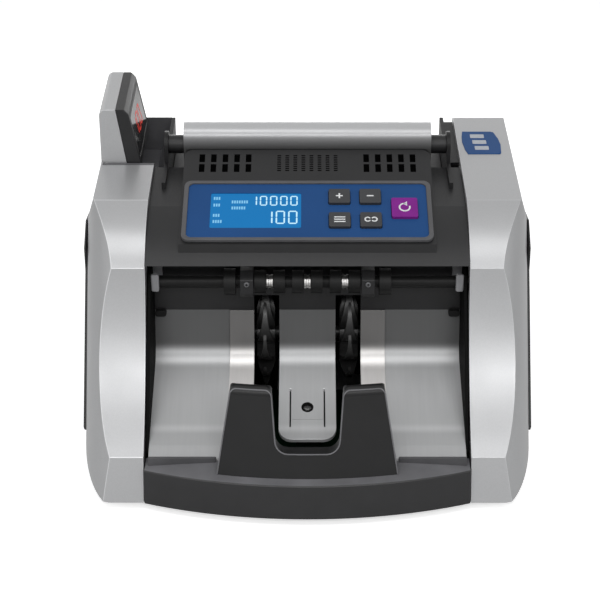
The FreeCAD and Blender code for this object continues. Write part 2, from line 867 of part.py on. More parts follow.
def wheel_envelope(middle):
    """What the blades of a wheel stay in: full width at the hub, narrow at the tips."""
    edges = ["(%s %s)" % (middle, edge) for edge in
             ("- wheel_width/2", "- fin_tip_width/2", "+ fin_tip_width/2", "+ wheel_width/2")]
    tip = "(wheel_radius + clearance)"
    return fuse(cone("fin_taper_radius", tip, edges[0], edges[1], WHEEL_LINE),
                rod("x", tip, edges[1], edges[2], *WHEEL_LINE),
                cone(tip, "fin_taper_radius", edges[2], edges[3], WHEEL_LINE))


def stacker_rotor():
    solids = [rod("x", "shaft_radius", "-" + SHAFT_END, BELT_ONE[1], *WHEEL_LINE)]
    solids.append(rod("x", "wheel_pulley_radius", *BELT_ONE, *WHEEL_LINE))
    for sign, _ in SIDES:
        middle = "(%s)" % signed(sign, "wheel_offset")
        solids.append(roller(WHEEL_LINE, "wheel_hub_radius", middle, "wheel_width"))
        envelope = wheel_envelope(middle)
        solids += [common(fin(middle, number), envelope) for number in range(int(val("fin_count")))]
    piece("stacker_rotor", fuse(*solids))


def exit_rotor():
    solids = [rod("x", "shaft_radius", "-" + SHAFT_END, BELT_ONE[1], *EXIT_LINE)]
    solids.append(rod("x", "exit_pulley_radius", *BELT_ONE, *EXIT_LINE))
    for sign, _ in SIDES:
        for step in range(3):
            middle = "(%s)" % signed(sign, "exit_roller_pitch*(%d + 1/2)" % step)
            solids.append(roller(EXIT_LINE, "exit_roller_radius", middle, "exit_roller_width"))
        middle = "(%s)" % signed(sign, "exit_outer_offset")
        solids.append(roller(EXIT_LINE, "exit_outer_radius", middle, "exit_roller_width"))
    piece("exit_rotor", fuse(*solids))


def hopper_rotor(label, line, name):
    """A feed or pickup shaft: two rollers between the hopper guides and a pulley on the right."""
    solids = [rod("x", "shaft_radius", "-guide_inner - guide_thickness", BELT_TWO[1], *line)]
    solids.append(rod("x", name + "_pulley_radius", *BELT_TWO, *line))
    for sign, _ in SIDES:
        middle = "(%s)" % signed(sign, name + "_offset")
        solids.append(roller(line, name + "_radius", middle, name + "_width"))
    piece(label, fuse(*solids))


MOTOR_FACE = "(frame_inner - motor_boss_length)"


def motor():
    can = rod("x", "motor_radius", MOTOR_FACE + " - motor_length", MOTOR_FACE, *MOTOR_LINE)
    boss = rod("x", "motor_boss_radius", MOTOR_FACE, "frame_inner", *MOTOR_LINE)
    bore = rod("x", "shaft_radius + running_gap", MOTOR_FACE + " - motor_length/2", "frame_inner",
               *MOTOR_LINE)
    piece("motor", cut(fuse(can, boss), bore))
    shaft = rod("x", "shaft_radius", MOTOR_FACE + " - motor_length/2 + clearance", BELT_TWO[1],
                *MOTOR_LINE)
    pulley = rod("x", "motor_pulley_radius", BELT_ONE[0], BELT_TWO[1], *MOTOR_LINE)
    piece("motor_rotor", fuse(shaft, pulley))


def loop_outline(rounds, grow):
    """The taut loop round some circles, given in turning order as (Y, Z, radius)."""
    angles = []
    for (y, z, r), (y2, z2, r2) in zip(rounds, rounds[1:] + rounds[:1]):
        run = "sqrt((%s - %s)^2 + (%s - %s)^2)" % (y2, y, z2, z)
        angles.append("(atan2(%s - %s; %s - %s) - acos((%s - %s)/%s))" % (z2, z, y2, y, r, r2, run))
    steps = []
    for i, (y, z, r) in enumerate(rounds):
        arrive, leave = angles[i - 1], angles[i]
        middle = "((%s + %s)/2)" % (arrive, leave)
        if val(leave) < val(arrive):
            middle = "(%s + 180 deg)" % middle
        points = []
        for angle in (arrive, middle, leave):
            points.append(("%s + (%s + %s)*cos(%s)" % (y, r, grow, angle),
                           "%s + (%s + %s)*sin(%s)" % (z, r, grow, angle)))
        steps.append(points[0])
        steps.append(points[1] + points[2] + ("%s + %s" % (r, grow),))
    return steps


def motor_round():
    return (*MOTOR_LINE, "motor_pulley_radius")


def drive_rounds():
    """The pulleys of the belt from the motor to the exit rollers and the stacker wheels."""
    return [motor_round(), (*EXIT_LINE, "exit_pulley_radius"), (*WHEEL_LINE, "wheel_pulley_radius")]


def belt(label, plane, rounds):
    outer = prism("x", *plane, loop_outline(rounds, "(clearance + belt_thickness)"))
    inner = prism("x", *plane, loop_outline(rounds, "clearance"))
    piece(label, cut(outer, inner))


# Note exit

def exit_cover():
    """Upright plate behind the exit rollers, notched where the stacker wheels come through."""
    depth = (back("exit_cover_back"), back("exit_cover_back + wall"))
    plate = box("-frame_inner", "frame_inner", *depth, "exit_cover_low", "exit_cover_high")
    notch_top = "wheel_height + wheel_radius + 2*clearance"
    notches = [box(*side(sign, "tongue_half_width", "skid_inner"), *depth, "exit_cover_low", notch_top)
               for sign, _ in SIDES]
    piece("exit_cover", cut(plate, *notches))
    pads = [box(*side(sign, "frame_inner - pad_width", "frame_inner"),
                back("exit_cover_back - wall"), back("exit_cover_back"),
                "exit_height - pad_width", "exit_height + 2*pad_width") for sign, _ in SIDES]
    piece("exit_edge_pads", group(pads))
    heads = []
    for sign, _ in SIDES:
        x = side(sign, "sensor_offset - sensor_width/2", "sensor_offset + sensor_width/2")
        drop_rear = back("exit_back - shaft_radius - 2*clearance")
        drop_front = "(%s - sensor_depth)" % drop_rear
        heads.append(prism("x", *x, [
            (back("exit_cover_back"), "exit_height + shaft_radius + wall"),
            (drop_rear, "exit_height + shaft_radius + wall"),
            (drop_rear, "exit_height - sensor_drop"),
            (drop_front + " + wall/2", "exit_height - sensor_drop"),
            (drop_front, "exit_height - sensor_drop + wall"),
            (drop_front, "exit_cover_high - 2*wall"),
            (drop_front + " + 2*wall", "exit_cover_high"),
            (back("exit_cover_back"), "exit_cover_high"),
        ]))
    piece("exit_sensors", group(heads))


# Upper cover and console

def cover_top():
    """The outer line of the upper cover, from its front lip to its rear edge."""
    return [
        (back("cover_front_back"), "cover_front_height"),
        (back("cover_mid_back"), "cover_mid_height", back("cover_top_back"), "cover_top_height"),
        (back("cover_rear_back"), "cover_rear_height"),
    ]


def upper_cover():
    under = [
        (back("cover_rear_back"), "cover_rear_height - cover_thickness"),
        (back("cover_top_back"), "cover_top_height - cover_thickness"),
        (back("cover_mid_back + cover_thickness*sin(45)"), "cover_mid_height - cover_thickness*sin(45)",
         back("cover_front_back + cover_thickness"), "cover_front_height"),
    ]
    skin = prism("x", "-cover_half_width", "cover_half_width", cover_top() + under)
    piece("upper_cover", cut(skin, on_face(key_wells(WELL_FLOOR, KEY_TOP))))


FACE_FOOT = (back("console_foot_back"), "console_foot_height")
VENT_FOOT = ("(%s + console_length*cos(console_slope))" % FACE_FOOT[0],
             "(%s + console_length*sin(console_slope))" % FACE_FOOT[1])
VENT_TOP = ("(%s + vent_length*cos(vent_slope))" % VENT_FOOT[0],
            "(%s + vent_length*sin(vent_slope))" % VENT_FOOT[1])


def on_face(obj):
    """Stand a piece drawn flat on the control face: X across, Y up the slope, Z out of it."""
    return tilt(obj, *FACE_FOOT, "console_slope")


def plaque(x0, x1, y0, y1, z0, z1, radius):
    """A flat plate with rounded corners."""
    radius = "(%s)" % radius
    corner = "%s*(1 - %s)" % (radius, MID_ROUND)
    return prism("z", z0, z1, [
        ("%s - %s" % (x1, radius), y0),
        ("%s - %s" % (x1, corner), "%s + %s" % (y0, corner), x1, "%s + %s" % (y0, radius)),
        (x1, "%s - %s" % (y1, radius)),
        ("%s - %s" % (x1, corner), "%s - %s" % (y1, corner), "%s - %s" % (x1, radius), y1),
        ("%s + %s" % (x0, radius), y1),
        ("%s + %s" % (x0, corner), "%s - %s" % (y1, corner), x0, "%s - %s" % (y1, radius)),
        (x0, "%s + %s" % (y0, radius)),
        ("%s + %s" % (x0, corner), "%s + %s" % (y0, corner), "%s + %s" % (x0, radius), y0),
    ])


KEYS = {
    "key_plus": ("key_near_column", "key_high_row", "key_width", "key_height"),
    "key_minus": ("key_far_column", "key_high_row", "key_width", "key_height"),
    "key_batch": ("key_near_column", "key_low_row", "key_width", "key_height"),
    "key_mode": ("key_far_column", "key_low_row", "key_width", "key_height"),
    "key_reset": ("reset_column", "reset_row", "reset_width", "reset_height"),
}
KEY_FLOOR = "(-key_depth)"
KEY_TOP = "(overlay_thickness + key_proud)"
WELL_FLOOR = "(-key_depth - key_travel - clearance)"


def key_block(key, gap, low, high):
    x, y, width, height = key
    return plaque("(%s - %s/2 - %s)" % (x, width, gap), "(%s + %s/2 + %s)" % (x, width, gap),
                  "(%s - %s/2 - %s)" % (y, height, gap), "(%s + %s/2 + %s)" % (y, height, gap),
                  low, high, "(key_round + %s)" % gap)


def keys():
    for label, key in KEYS.items():
        piece(label, on_face(key_block(key, "0", KEY_FLOOR, KEY_TOP)))


def key_wells(low, high):
    return group([key_block(key, "clearance", low, high) for key in KEYS.values()])


def slot_grid(count, pitch, row_pitch, width, length, middle):
    """Blind slots in columns and rows on the vent face, about a middle across the machine."""
    columns, rows = count
    slots = []
    for column in range(columns):
        x = "(%s + %s*(%d - (%d - 1)/2))" % (middle, pitch, column, columns)
        for row in range(rows):
            y = "(vent_middle + %s*(%d - (%d - 1)/2))" % (row_pitch, row, rows)
            slots.append(box("%s - %s/2" % (x, width), "%s + %s/2" % (x, width),
                             "%s - %s/2" % (y, length), "%s + %s/2" % (y, length), "-wall", "wall"))
    return slots


GRILLE_COUNT = (8, 8)
SLOT_COUNT = (5, 2)


def console():
    """Raised block on the cover: sloped control face, then the vent rows and the speaker grille."""
    block = prism("x", "-console_half_width", "console_half_width", [
        FACE_FOOT, VENT_FOOT, VENT_TOP,
        (VENT_TOP[0] + " + wall/2", "brow_height"),
        (FACE_FOOT[0] + " - wall/2", "brow_height"),
    ])
    floor = (back("cover_rear_back"), "brow_height - wall")
    under = prism("x", "-cover_half_width", "cover_half_width",
                  cover_top() + [floor, (back("cover_front_back"), floor[1])])
    wells = on_face(key_wells(WELL_FLOOR, KEY_TOP))
    slots = slot_grid(GRILLE_COUNT, "grille_pitch", "grille_row_pitch", "grille_slot_width",
                      "grille_slot_length", "0")
    for sign, _ in SIDES:
        slots += slot_grid(SLOT_COUNT, "slot_pitch", "slot_row_pitch", "slot_width", "slot_length",
                           "(%s)" % signed(sign, "slot_group_offset"))
    vents = tilt(group(slots), *VENT_FOOT, "vent_slope")
    corners = on_face(plaque("-console_half_width", "console_half_width", "-console_length",
                             "(console_length + vent_length)", "-console_length", "2*wall",
                             "console_round"))
    piece("console", cut(common(block, corners), under, wells, vents))


def control_face():
    overlay_edge = ("-overlay_half_width", "overlay_half_width", "overlay_foot",
                    "(overlay_foot + overlay_length)")
    outer = plaque("(bezel_margin - console_half_width)", "(console_half_width - bezel_margin)",
                   "bezel_margin", "(bezel_margin + bezel_length)", "0", "bezel_thickness",
                   "bezel_round")
    opening = plaque(*overlay_edge, "0", "bezel_thickness", "bezel_round - bezel_margin")
    piece("control_bezel", on_face(cut(outer, opening)))
    screen_edge = ("-screen_left", "-screen_right", "screen_low", "screen_high")
    overlay = plaque(*overlay_edge, "0", "overlay_thickness", "bezel_round - bezel_margin")
    window = plaque(*screen_edge, "0", "overlay_thickness", "key_round")
    piece("control_overlay", on_face(cut(overlay, window, key_wells("0", "overlay_thickness"))))
    piece("screen", on_face(plaque(*screen_edge, "0", "screen_thickness", "key_round")))


# Hopper

BAR_MID = "(bar_front_back + bar_depth/2 - front_reach)"
AXLE_LINE = (BAR_MID, "axle_height")


def hopper_bar():
    bar = prism("x", "-bar_half_width", "bar_half_width", [
        (back("bar_front_back"), "bar_foot_height"),
        (back("bar_front_back"), "bar_top_height - bar_depth/2"),
        (BAR_MID + " - bar_depth/2*sin(45)", "bar_top_height - bar_depth/2*(1 - sin(45))",
         BAR_MID, "bar_top_height"),
        (BAR_MID + " + bar_depth/2*sin(45)", "bar_top_height - bar_depth/2*(1 - sin(45))",
         back("bar_front_back + bar_depth"), "bar_top_height - bar_depth/2"),
        (back("bar_front_back + bar_depth"), "bar_foot_height"),
    ])
    bore = rod("x", "axle_radius + running_gap", "-guide_inner", "guide_inner", *AXLE_LINE)
    seat = rod("y", "knob_stem_radius + running_gap", back("bar_front_back + bar_depth - knob_seat"),
               back("bar_front_back + bar_depth"), "knob_offset", "knob_height")
    piece("hopper_bar", cut(bar, bore, seat))
    piece("hopper_rod", rod("x", "axle_radius", "-guide_inner", "guide_inner", *AXLE_LINE))
    stem = rod("y", "knob_stem_radius", back("bar_front_back + bar_depth - knob_seat + clearance"),
               back("bar_front_back + bar_depth + wall"), "knob_offset", "knob_height")
    disc = rod("y", "knob_radius", back("bar_front_back + bar_depth + clearance"),
               back("bar_front_back + bar_depth + knob_length"), "knob_offset", "knob_height")
    slot = box("knob_offset - knob_radius", "knob_offset + knob_radius",
               back("bar_front_back + bar_depth + knob_length - wall/2"),
               back("bar_front_back + bar_depth + knob_length"),
               "knob_height - wall/2", "knob_height + wall/2")
    piece("gap_knob", cut(fuse(stem, disc), slot))
    piece("separator_pad", box("-pad_half_width", "pad_half_width", back("bar_front_back + wall"),
                               back("bed_front_back - wall/2"),
                               "feed_height + feed_radius + pad_gap", "bar_foot_height"))


def hopper_bed():
    plate = box("clearance - guide_inner", "guide_inner - clearance", "0", "bed_length",
                "-plate_thickness", "0")
    along = "(pickup_back - bed_front_back)*cos(bed_slope)"
    along += " + (pickup_height - bed_front_height)*sin(bed_slope)"
    half = "pickup_width/2 + wall"
    slots = []
    for sign, _ in SIDES:
        x = side(sign, "pickup_offset - (%s)" % half, "pickup_offset + " + half)
        slots.append(box(*x, along + " - pickup_radius + wall/2", along + " + pickup_radius - wall/2",
                         "-plate_thickness", "0"))
    piece("hopper_bed", tilt(cut(plate, *slots), back("bed_front_back"), "bed_front_height", "bed_slope"))


def hopper_guide(sign, name):
    """Side wall of the hopper, level with the panel's top: it stands on the cover and on the frame."""
    rise = "(cover_rear_height - cover_top_height)/(cover_rear_back - cover_top_back)"
    step = back("cover_rear_back + 2*clearance")
    x = side(sign, "guide_inner", "guide_inner + guide_thickness")
    plate = prism("x", *x, [
        (back("guide_front_back"), "cover_top_height + (guide_front_back - cover_top_back)*%s" % rise),
        (step, "cover_rear_height + 2*clearance*%s" % rise),
        (step, "frame_top - guide_foot"),
        (back("guide_rear_back"), "frame_top - guide_foot"),
        (back("guide_rear_back"), "crown_height"),
        (back("guide_front_back"), "crown_height"),
    ])
    plate = common(plate, prism("x", *x, panel_profile()))
    foot = box(*side(sign, "guide_inner + guide_thickness", "frame_inner"), step,
               back("guide_rear_back"), "frame_top - guide_foot", "frame_top")
    lug_radius = "(axle_radius + wall)"
    lug = rod("x", lug_radius, *x, *AXLE_LINE)
    root = box(*x, BAR_MID + " - " + lug_radius, BAR_MID + " + " + lug_radius,
               "axle_height - 2*" + lug_radius, "axle_height")
    solids = [plate, foot, lug, root]
    if sign > 0:
        flange = box("guide_inner + guide_thickness", "panel_inner - clearance",
                     "feed_back - shoulder_back", "guide_rear_back - shoulder_back",
                     "-wall - guide_thickness", "-wall")
        solids.append(on_crown(group([flange])))
    holes = [rod("x", "shaft_radius + running_gap", *x, *line) for line in (FEED_LINE, PICKUP_LINE)]
    piece(name + "_hopper_guide", cut(fuse(*solids), *holes))


# Flip-up display lid, drawn on the crown of the left panel

LID_ENDS = (back("lid_front_back"), back("lid_front_back + lid_length"))
HINGE = ("-hinge_offset", "-hinge_drop")
LID_SWEEP = ("sqrt((hinge_offset - lid_face_top - lid_chamfer)^2 + (lid_height + hinge_drop)^2)"
             " + 2*clearance")


def lid_block(outline, margin):
    """A length of the lid with upright ends."""
    ends = box("-panel_outer", "0", "%s + %s" % (LID_ENDS[0], margin), "%s - %s" % (LID_ENDS[1], margin),
               "0", "2*crown_height")
    return common(on_crown(group([prism("y", *LID_ROOM, outline)])), ends)


def display_lid():
    corner = "lid_round*(1 - %s)" % MID_ROUND
    barrel = "barrel_radius*" + MID_ROUND
    shell = lid_block([
        ("-lid_outer", "lid_height - lid_round"),
        ("-lid_outer + " + corner, "lid_height - " + corner, "-lid_outer + lid_round", "lid_height"),
        ("-lid_seam_top", "lid_height"),
        ("-lid_seam_foot", "-lid_foot_drop"),
        ("-hinge_offset", "-hinge_drop - barrel_radius"),
        ("-hinge_offset - " + barrel, "-hinge_drop - " + barrel,
         "-hinge_offset - barrel_radius", "-hinge_drop"),
        ("-hinge_offset - barrel_radius", "2*clearance"),
        ("-lid_outer", "2*clearance"),
    ], "0")
    bore = rod("y", "lid_pin_radius + running_gap", *LID_ROOM, *HINGE)
    piece("display_lid_shell", cut(shell, on_crown(group([bore]))))
    bezel = [
        ("-lid_seam_top", "lid_height"), ("-lid_face_top - lid_chamfer", "lid_height"),
        ("-lid_face_top", "lid_height - lid_chamfer"),
        ("-lid_face_foot", "-lid_foot_drop"), ("-lid_seam_foot", "-lid_foot_drop"),
    ]
    lean = "((lid_face_top - lid_face_foot)*window_margin/(lid_height - lid_chamfer + lid_foot_drop))"
    low = ("-lid_face_foot - " + lean, "window_margin - lid_foot_drop")
    high = ("-lid_face_top + " + lean, "lid_height - lid_chamfer - window_margin")
    pane = [low, high, (high[0] + " - window_thickness", high[1]), (low[0] + " - window_thickness", low[1])]
    piece("display_lid_bezel", cut(lid_block(bezel, "0"), lid_block(pane, "window_margin")))
    piece("display_lid_window", lid_block(pane, "window_margin"))


def display_cradle():
    """Dark well in the left panel: the lid folds down into it and its pin runs through the ends."""
    block = box(CRADLE_OUTER, "-guide_inner - guide_thickness - clearance/3", LID_ROOM[0] + " - wall",
                LID_ROOM[1] + " + wall", "-cradle_depth - wall", "lid_height")
    flush = prism("x", "-panel_outer", "-guide_inner", panel_profile())
    post = box("-hinge_offset - barrel_radius", "barrel_radius - hinge_offset", LID_ROOM[1],
               LID_ROOM[1] + " + wall", "-cradle_rim", "0")
    sweep = rod("y", LID_SWEEP, *LID_ROOM, *HINGE)
    well = box(CRADLE_OUTER, "-guide_inner", *LID_ROOM, "-cradle_depth", "lid_height")
    rim = box("-panel_inner", "-guide_inner", *LID_ROOM, "-cradle_rim", "lid_height")
    room = on_crown(fuse(common(sweep, well), rim))
    ends = (LID_ROOM[0] + " - pin_seat", LID_ROOM[1] + " + pin_seat")
    bore = on_crown(group([rod("y", "lid_pin_radius + running_gap", *ends, *HINGE)]))
    solid = fuse(common(on_crown(group([block])), flush), on_crown(group([post])))
    cover_room = box("-panel_inner", "-guide_inner", back("cover_front_back"),
                     back("cover_rear_back + clearance"), "0", "crown_height")
    piece("display_cradle", cut(solid, room, bore, cover_room))
    piece("lid_pin", on_crown(group([rod("y", "lid_pin_radius", *ends, *HINGE)])))


# Back, boards and supply

def window_block(x, z, half_width, half_height, y0, y1):
    return box("%s - %s" % (x, half_width), "%s + %s" % (x, half_width), y0, y1,
               "%s - %s" % (z, half_height), "%s + %s" % (z, half_height))


REAR_SLOTS = range(2, 10)
SUPPLY_SLOTS = range(1, 7)


def rear_cover():
    outline = []
    for sign in (1, -1):
        step = [("rear_half_width", "rear_low"), ("rear_half_width", "rear_high"),
                ("rear_neck_half_width", "rear_high"), ("rear_neck_half_width", "rear_neck_high")]
        outline += [(signed(sign, u), v) for u, v in step][::sign]
    plate = prism("y", PANEL_REAR, "rear_reach", outline)
    depth = (PANEL_REAR, "rear_reach")
    inlet = window_block("inlet_offset", "inlet_height", "inlet_half_width", "inlet_half_height", *depth)
    switch = window_block("switch_offset", "inlet_height", "(switch_half_width + wall)",
                          "(switch_half_height + wall)", *depth)
    slots = [box("%d*rear_slot_pitch - rear_neck_half_width" % i,
                 "%d*rear_slot_pitch - rear_neck_half_width + rear_slot_width" % i,
                 "rear_reach - wall/2", "rear_reach", "base_wall_height + wall", "wheel_height")
             for i in REAR_SLOTS]
    piece("rear_cover", cut(plate, inlet, switch, group(slots)))


def power_inlet():
    """Recessed socket with three blades."""
    middle = ("inlet_offset", "inlet_height")
    body = window_block(*middle, "inlet_half_width", "inlet_half_height",
                        "rear_reach - inlet_depth", "rear_reach")
    well = window_block(*middle, "(inlet_half_width - wall)", "(inlet_half_height - wall)",
                        "rear_reach - inlet_depth + 2*wall", "rear_reach")
    blades = []
    for across, up in ((-1, 1), (0, 2), (1, 1)):
        x = "(inlet_offset + %d*inlet_half_width/2)" % across
        z = "(inlet_height + %d*wall)" % up
        blades.append(window_block(x, z, "wall/2.5", "0.8*wall", "rear_reach - inlet_depth + wall",
                                   "rear_reach - 2*wall"))
    piece("power_inlet", fuse(cut(body, well), *blades))


SWITCH_PIVOT = "(rear_reach - switch_depth)"


def power_switch():
    """Housing through the back, and the rocker on its upright pivot."""
    body = window_block("switch_offset", "inlet_height", "(switch_half_width + wall)",
                        "(switch_half_height + wall)", "rear_reach - inlet_depth", "rear_reach")
    well = window_block("switch_offset", "inlet_height", "switch_half_width", "switch_half_height",
                        "rear_reach - inlet_depth + wall", "rear_reach")
    pin_span = "(switch_half_height + wall/2)"
    pin = ("switch_offset", SWITCH_PIVOT)
    bore = rod("z", "pivot_radius + running_gap", "inlet_height - %s" % pin_span,
               "inlet_height + %s" % pin_span, *pin)
    piece("switch_housing", cut(body, well, bore))
    half = "(switch_half_width - 4*clearance)"
    reach = "(switch_depth - clearance - %s*sin(switch_tilt/2))" % half
    rocker = prism("z", "inlet_height - switch_half_height + clearance",
                   "inlet_height + switch_half_height - clearance", [
        ("-" + half, reach), ("-" + half, reach + " - wall"), ("0", "-2*pivot_radius"),
        (half, reach + " - wall"), (half, reach), ("0", reach + " - wall/2"),
    ])
    axle = rod("z", "pivot_radius", "inlet_height - %s" % pin_span,
               "inlet_height + %s" % pin_span, "0", "0")
    both = fuse(rocker, axle)
    both.Placement = FreeCAD.Placement(V(), FreeCAD.Rotation(V(0, 0, 1), 1))
    bind_base(both, *pin, "0")
    bind(both, ".Placement.Rotation.Angle", "360 - switch_tilt/2")
    piece("power_rocker", both)


def boards():
    top = "board_height + board_thickness"
    board = box("-board_half_width", "board_half_width", "board_front", "board_rear", "board_height", top)
    chips = []
    for i in range(3):
        x = "(board_half_width*(%d - 1)/2)" % i
        chips.append(box(x + " - 3*wall", x + " + 3*wall", "board_front + 4*wall", "board_front + 10*wall",
                         top, top + " + wall"))
    piece("main_board", fuse(board, *chips))
    posts = []
    for sign, _ in SIDES:
        for y in ("board_front + 2*wall", "board_rear - 2*wall"):
            posts.append(rod("z", "wall", "foot_height + wall", "board_height",
                             signed(sign, "board_half_width - 2*wall"), y))
    piece("board_posts", group(posts))
    case = box("-supply_left", "-supply_right", "supply_front", "supply_rear", "foot_height + wall",
               "supply_height")
    vents = [box("%d*rear_slot_pitch - supply_left" % i,
                 "%d*rear_slot_pitch - supply_left + rear_slot_width" % i,
                 "supply_front + 4*wall", "supply_rear - 4*wall", "supply_height - wall", "supply_height")
             for i in SUPPLY_SLOTS]
    piece("power_supply", cut(case, group(vents)))


# The machine

for sign, name in SIDES:
    side_panel(sign, name)
    side_trim(sign, name)
    side_frame(sign, name)
    stacker_plate(sign, name)
    stacker_skid(sign, name)
    hopper_guide(sign, name)
base_pan()
feet()
stacker_guide()
stacker_tongue()
stacker_rotor()
exit_rotor()
hopper_rotor("feed_rotor", FEED_LINE, "feed")
hopper_rotor("pickup_rotor", PICKUP_LINE, "pickup")
motor()
belt("drive_belt", BELT_ONE, drive_rounds())
belt("hopper_belt", BELT_TWO,
     [motor_round(), (*PICKUP_LINE, "pickup_pulley_radius"), (*FEED_LINE, "feed_pulley_radius")])
exit_cover()
upper_cover()
console()
control_face()
keys()
hopper_bar()
hopper_bed()
display_lid()
display_cradle()
rear_cover()
power_inlet()
power_switch()
boards()

doc.recompute()
faults = [obj.Label for obj in doc.Objects if {"Invalid", "Error"} & set(obj.State)]
faults += [obj.Label for obj in pieces if obj.Shape.isNull() or not obj.Shape.isValid()]
if faults:
    raise RuntimeError("these did not build: " + ", ".join(faults))
os.makedirs("parts", exist_ok=True)
for obj in pieces:
    obj.Shape.exportStep(os.path.join("parts", obj.Label + ".step"))
print(len(pieces), "pieces")
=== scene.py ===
"""Looks of the banknote counting machine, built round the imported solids.

Objects are in metres, in the frame of the solids: X to the operator's right, Y to the rear, Z up.
Outlines and places of the small pieces are written in millimetres.
"""
import bpy
import bmesh
import json
import math
from mathutils import Matrix, Vector


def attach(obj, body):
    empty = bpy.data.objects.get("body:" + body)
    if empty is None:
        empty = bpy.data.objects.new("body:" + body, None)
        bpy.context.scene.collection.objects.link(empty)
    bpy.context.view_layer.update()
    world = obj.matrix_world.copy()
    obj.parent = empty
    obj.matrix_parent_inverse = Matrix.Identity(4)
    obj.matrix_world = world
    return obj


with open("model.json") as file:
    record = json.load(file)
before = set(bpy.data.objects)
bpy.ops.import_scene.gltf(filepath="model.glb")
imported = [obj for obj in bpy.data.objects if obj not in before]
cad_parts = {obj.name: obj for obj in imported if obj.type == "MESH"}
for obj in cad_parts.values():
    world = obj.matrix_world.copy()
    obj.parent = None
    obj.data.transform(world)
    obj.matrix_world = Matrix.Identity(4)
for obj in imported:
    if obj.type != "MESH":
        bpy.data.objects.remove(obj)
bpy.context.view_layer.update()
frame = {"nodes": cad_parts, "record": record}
nodes = frame["nodes"]
MM = 0.001


# Camera at the photograph's viewing angle

FRAME_PIXELS = 600
FOCAL_PIXELS = 1504.8
SENSOR_MM = 36
TARGET = Vector((0, -43, 98.4)) * MM
TARGET_PIXEL = (307.4, 330)
DISTANCE = 953.3 * MM
ELEVATION = math.radians(23)


def add_camera():
    data = bpy.data.cameras.new("camera")
    data.sensor_width = SENSOR_MM
    data.lens = FOCAL_PIXELS / FRAME_PIXELS * SENSOR_MM
    data.shift_x = (FRAME_PIXELS / 2 - TARGET_PIXEL[0]) / FRAME_PIXELS
    data.shift_y = (TARGET_PIXEL[1] - FRAME_PIXELS / 2) / FRAME_PIXELS
    camera = bpy.data.objects.new("camera", data)
    towards = Vector((0, -math.cos(ELEVATION), math.sin(ELEVATION)))
    camera.location = TARGET + DISTANCE * towards
    camera.rotation_euler = (-towards).to_track_quat("-Z", "Y").to_euler()
    bpy.context.scene.collection.objects.link(camera)
    bpy.context.scene.camera = camera


# Materials

# Most values of a noise texture lie in this range
NOISE_LOW, NOISE_HIGH = 0.3, 0.7
# Sockets of a Mix node that mixes colours
MIX_FACTOR, MIX_A, MIX_B, MIX_RESULT = 0, 6, 7, 2
# Upward part of a normal at which a face begins to count as a top for painted light, and at which it fully is
# one
TOP_START, TOP_FULL = 0.85, 0.97


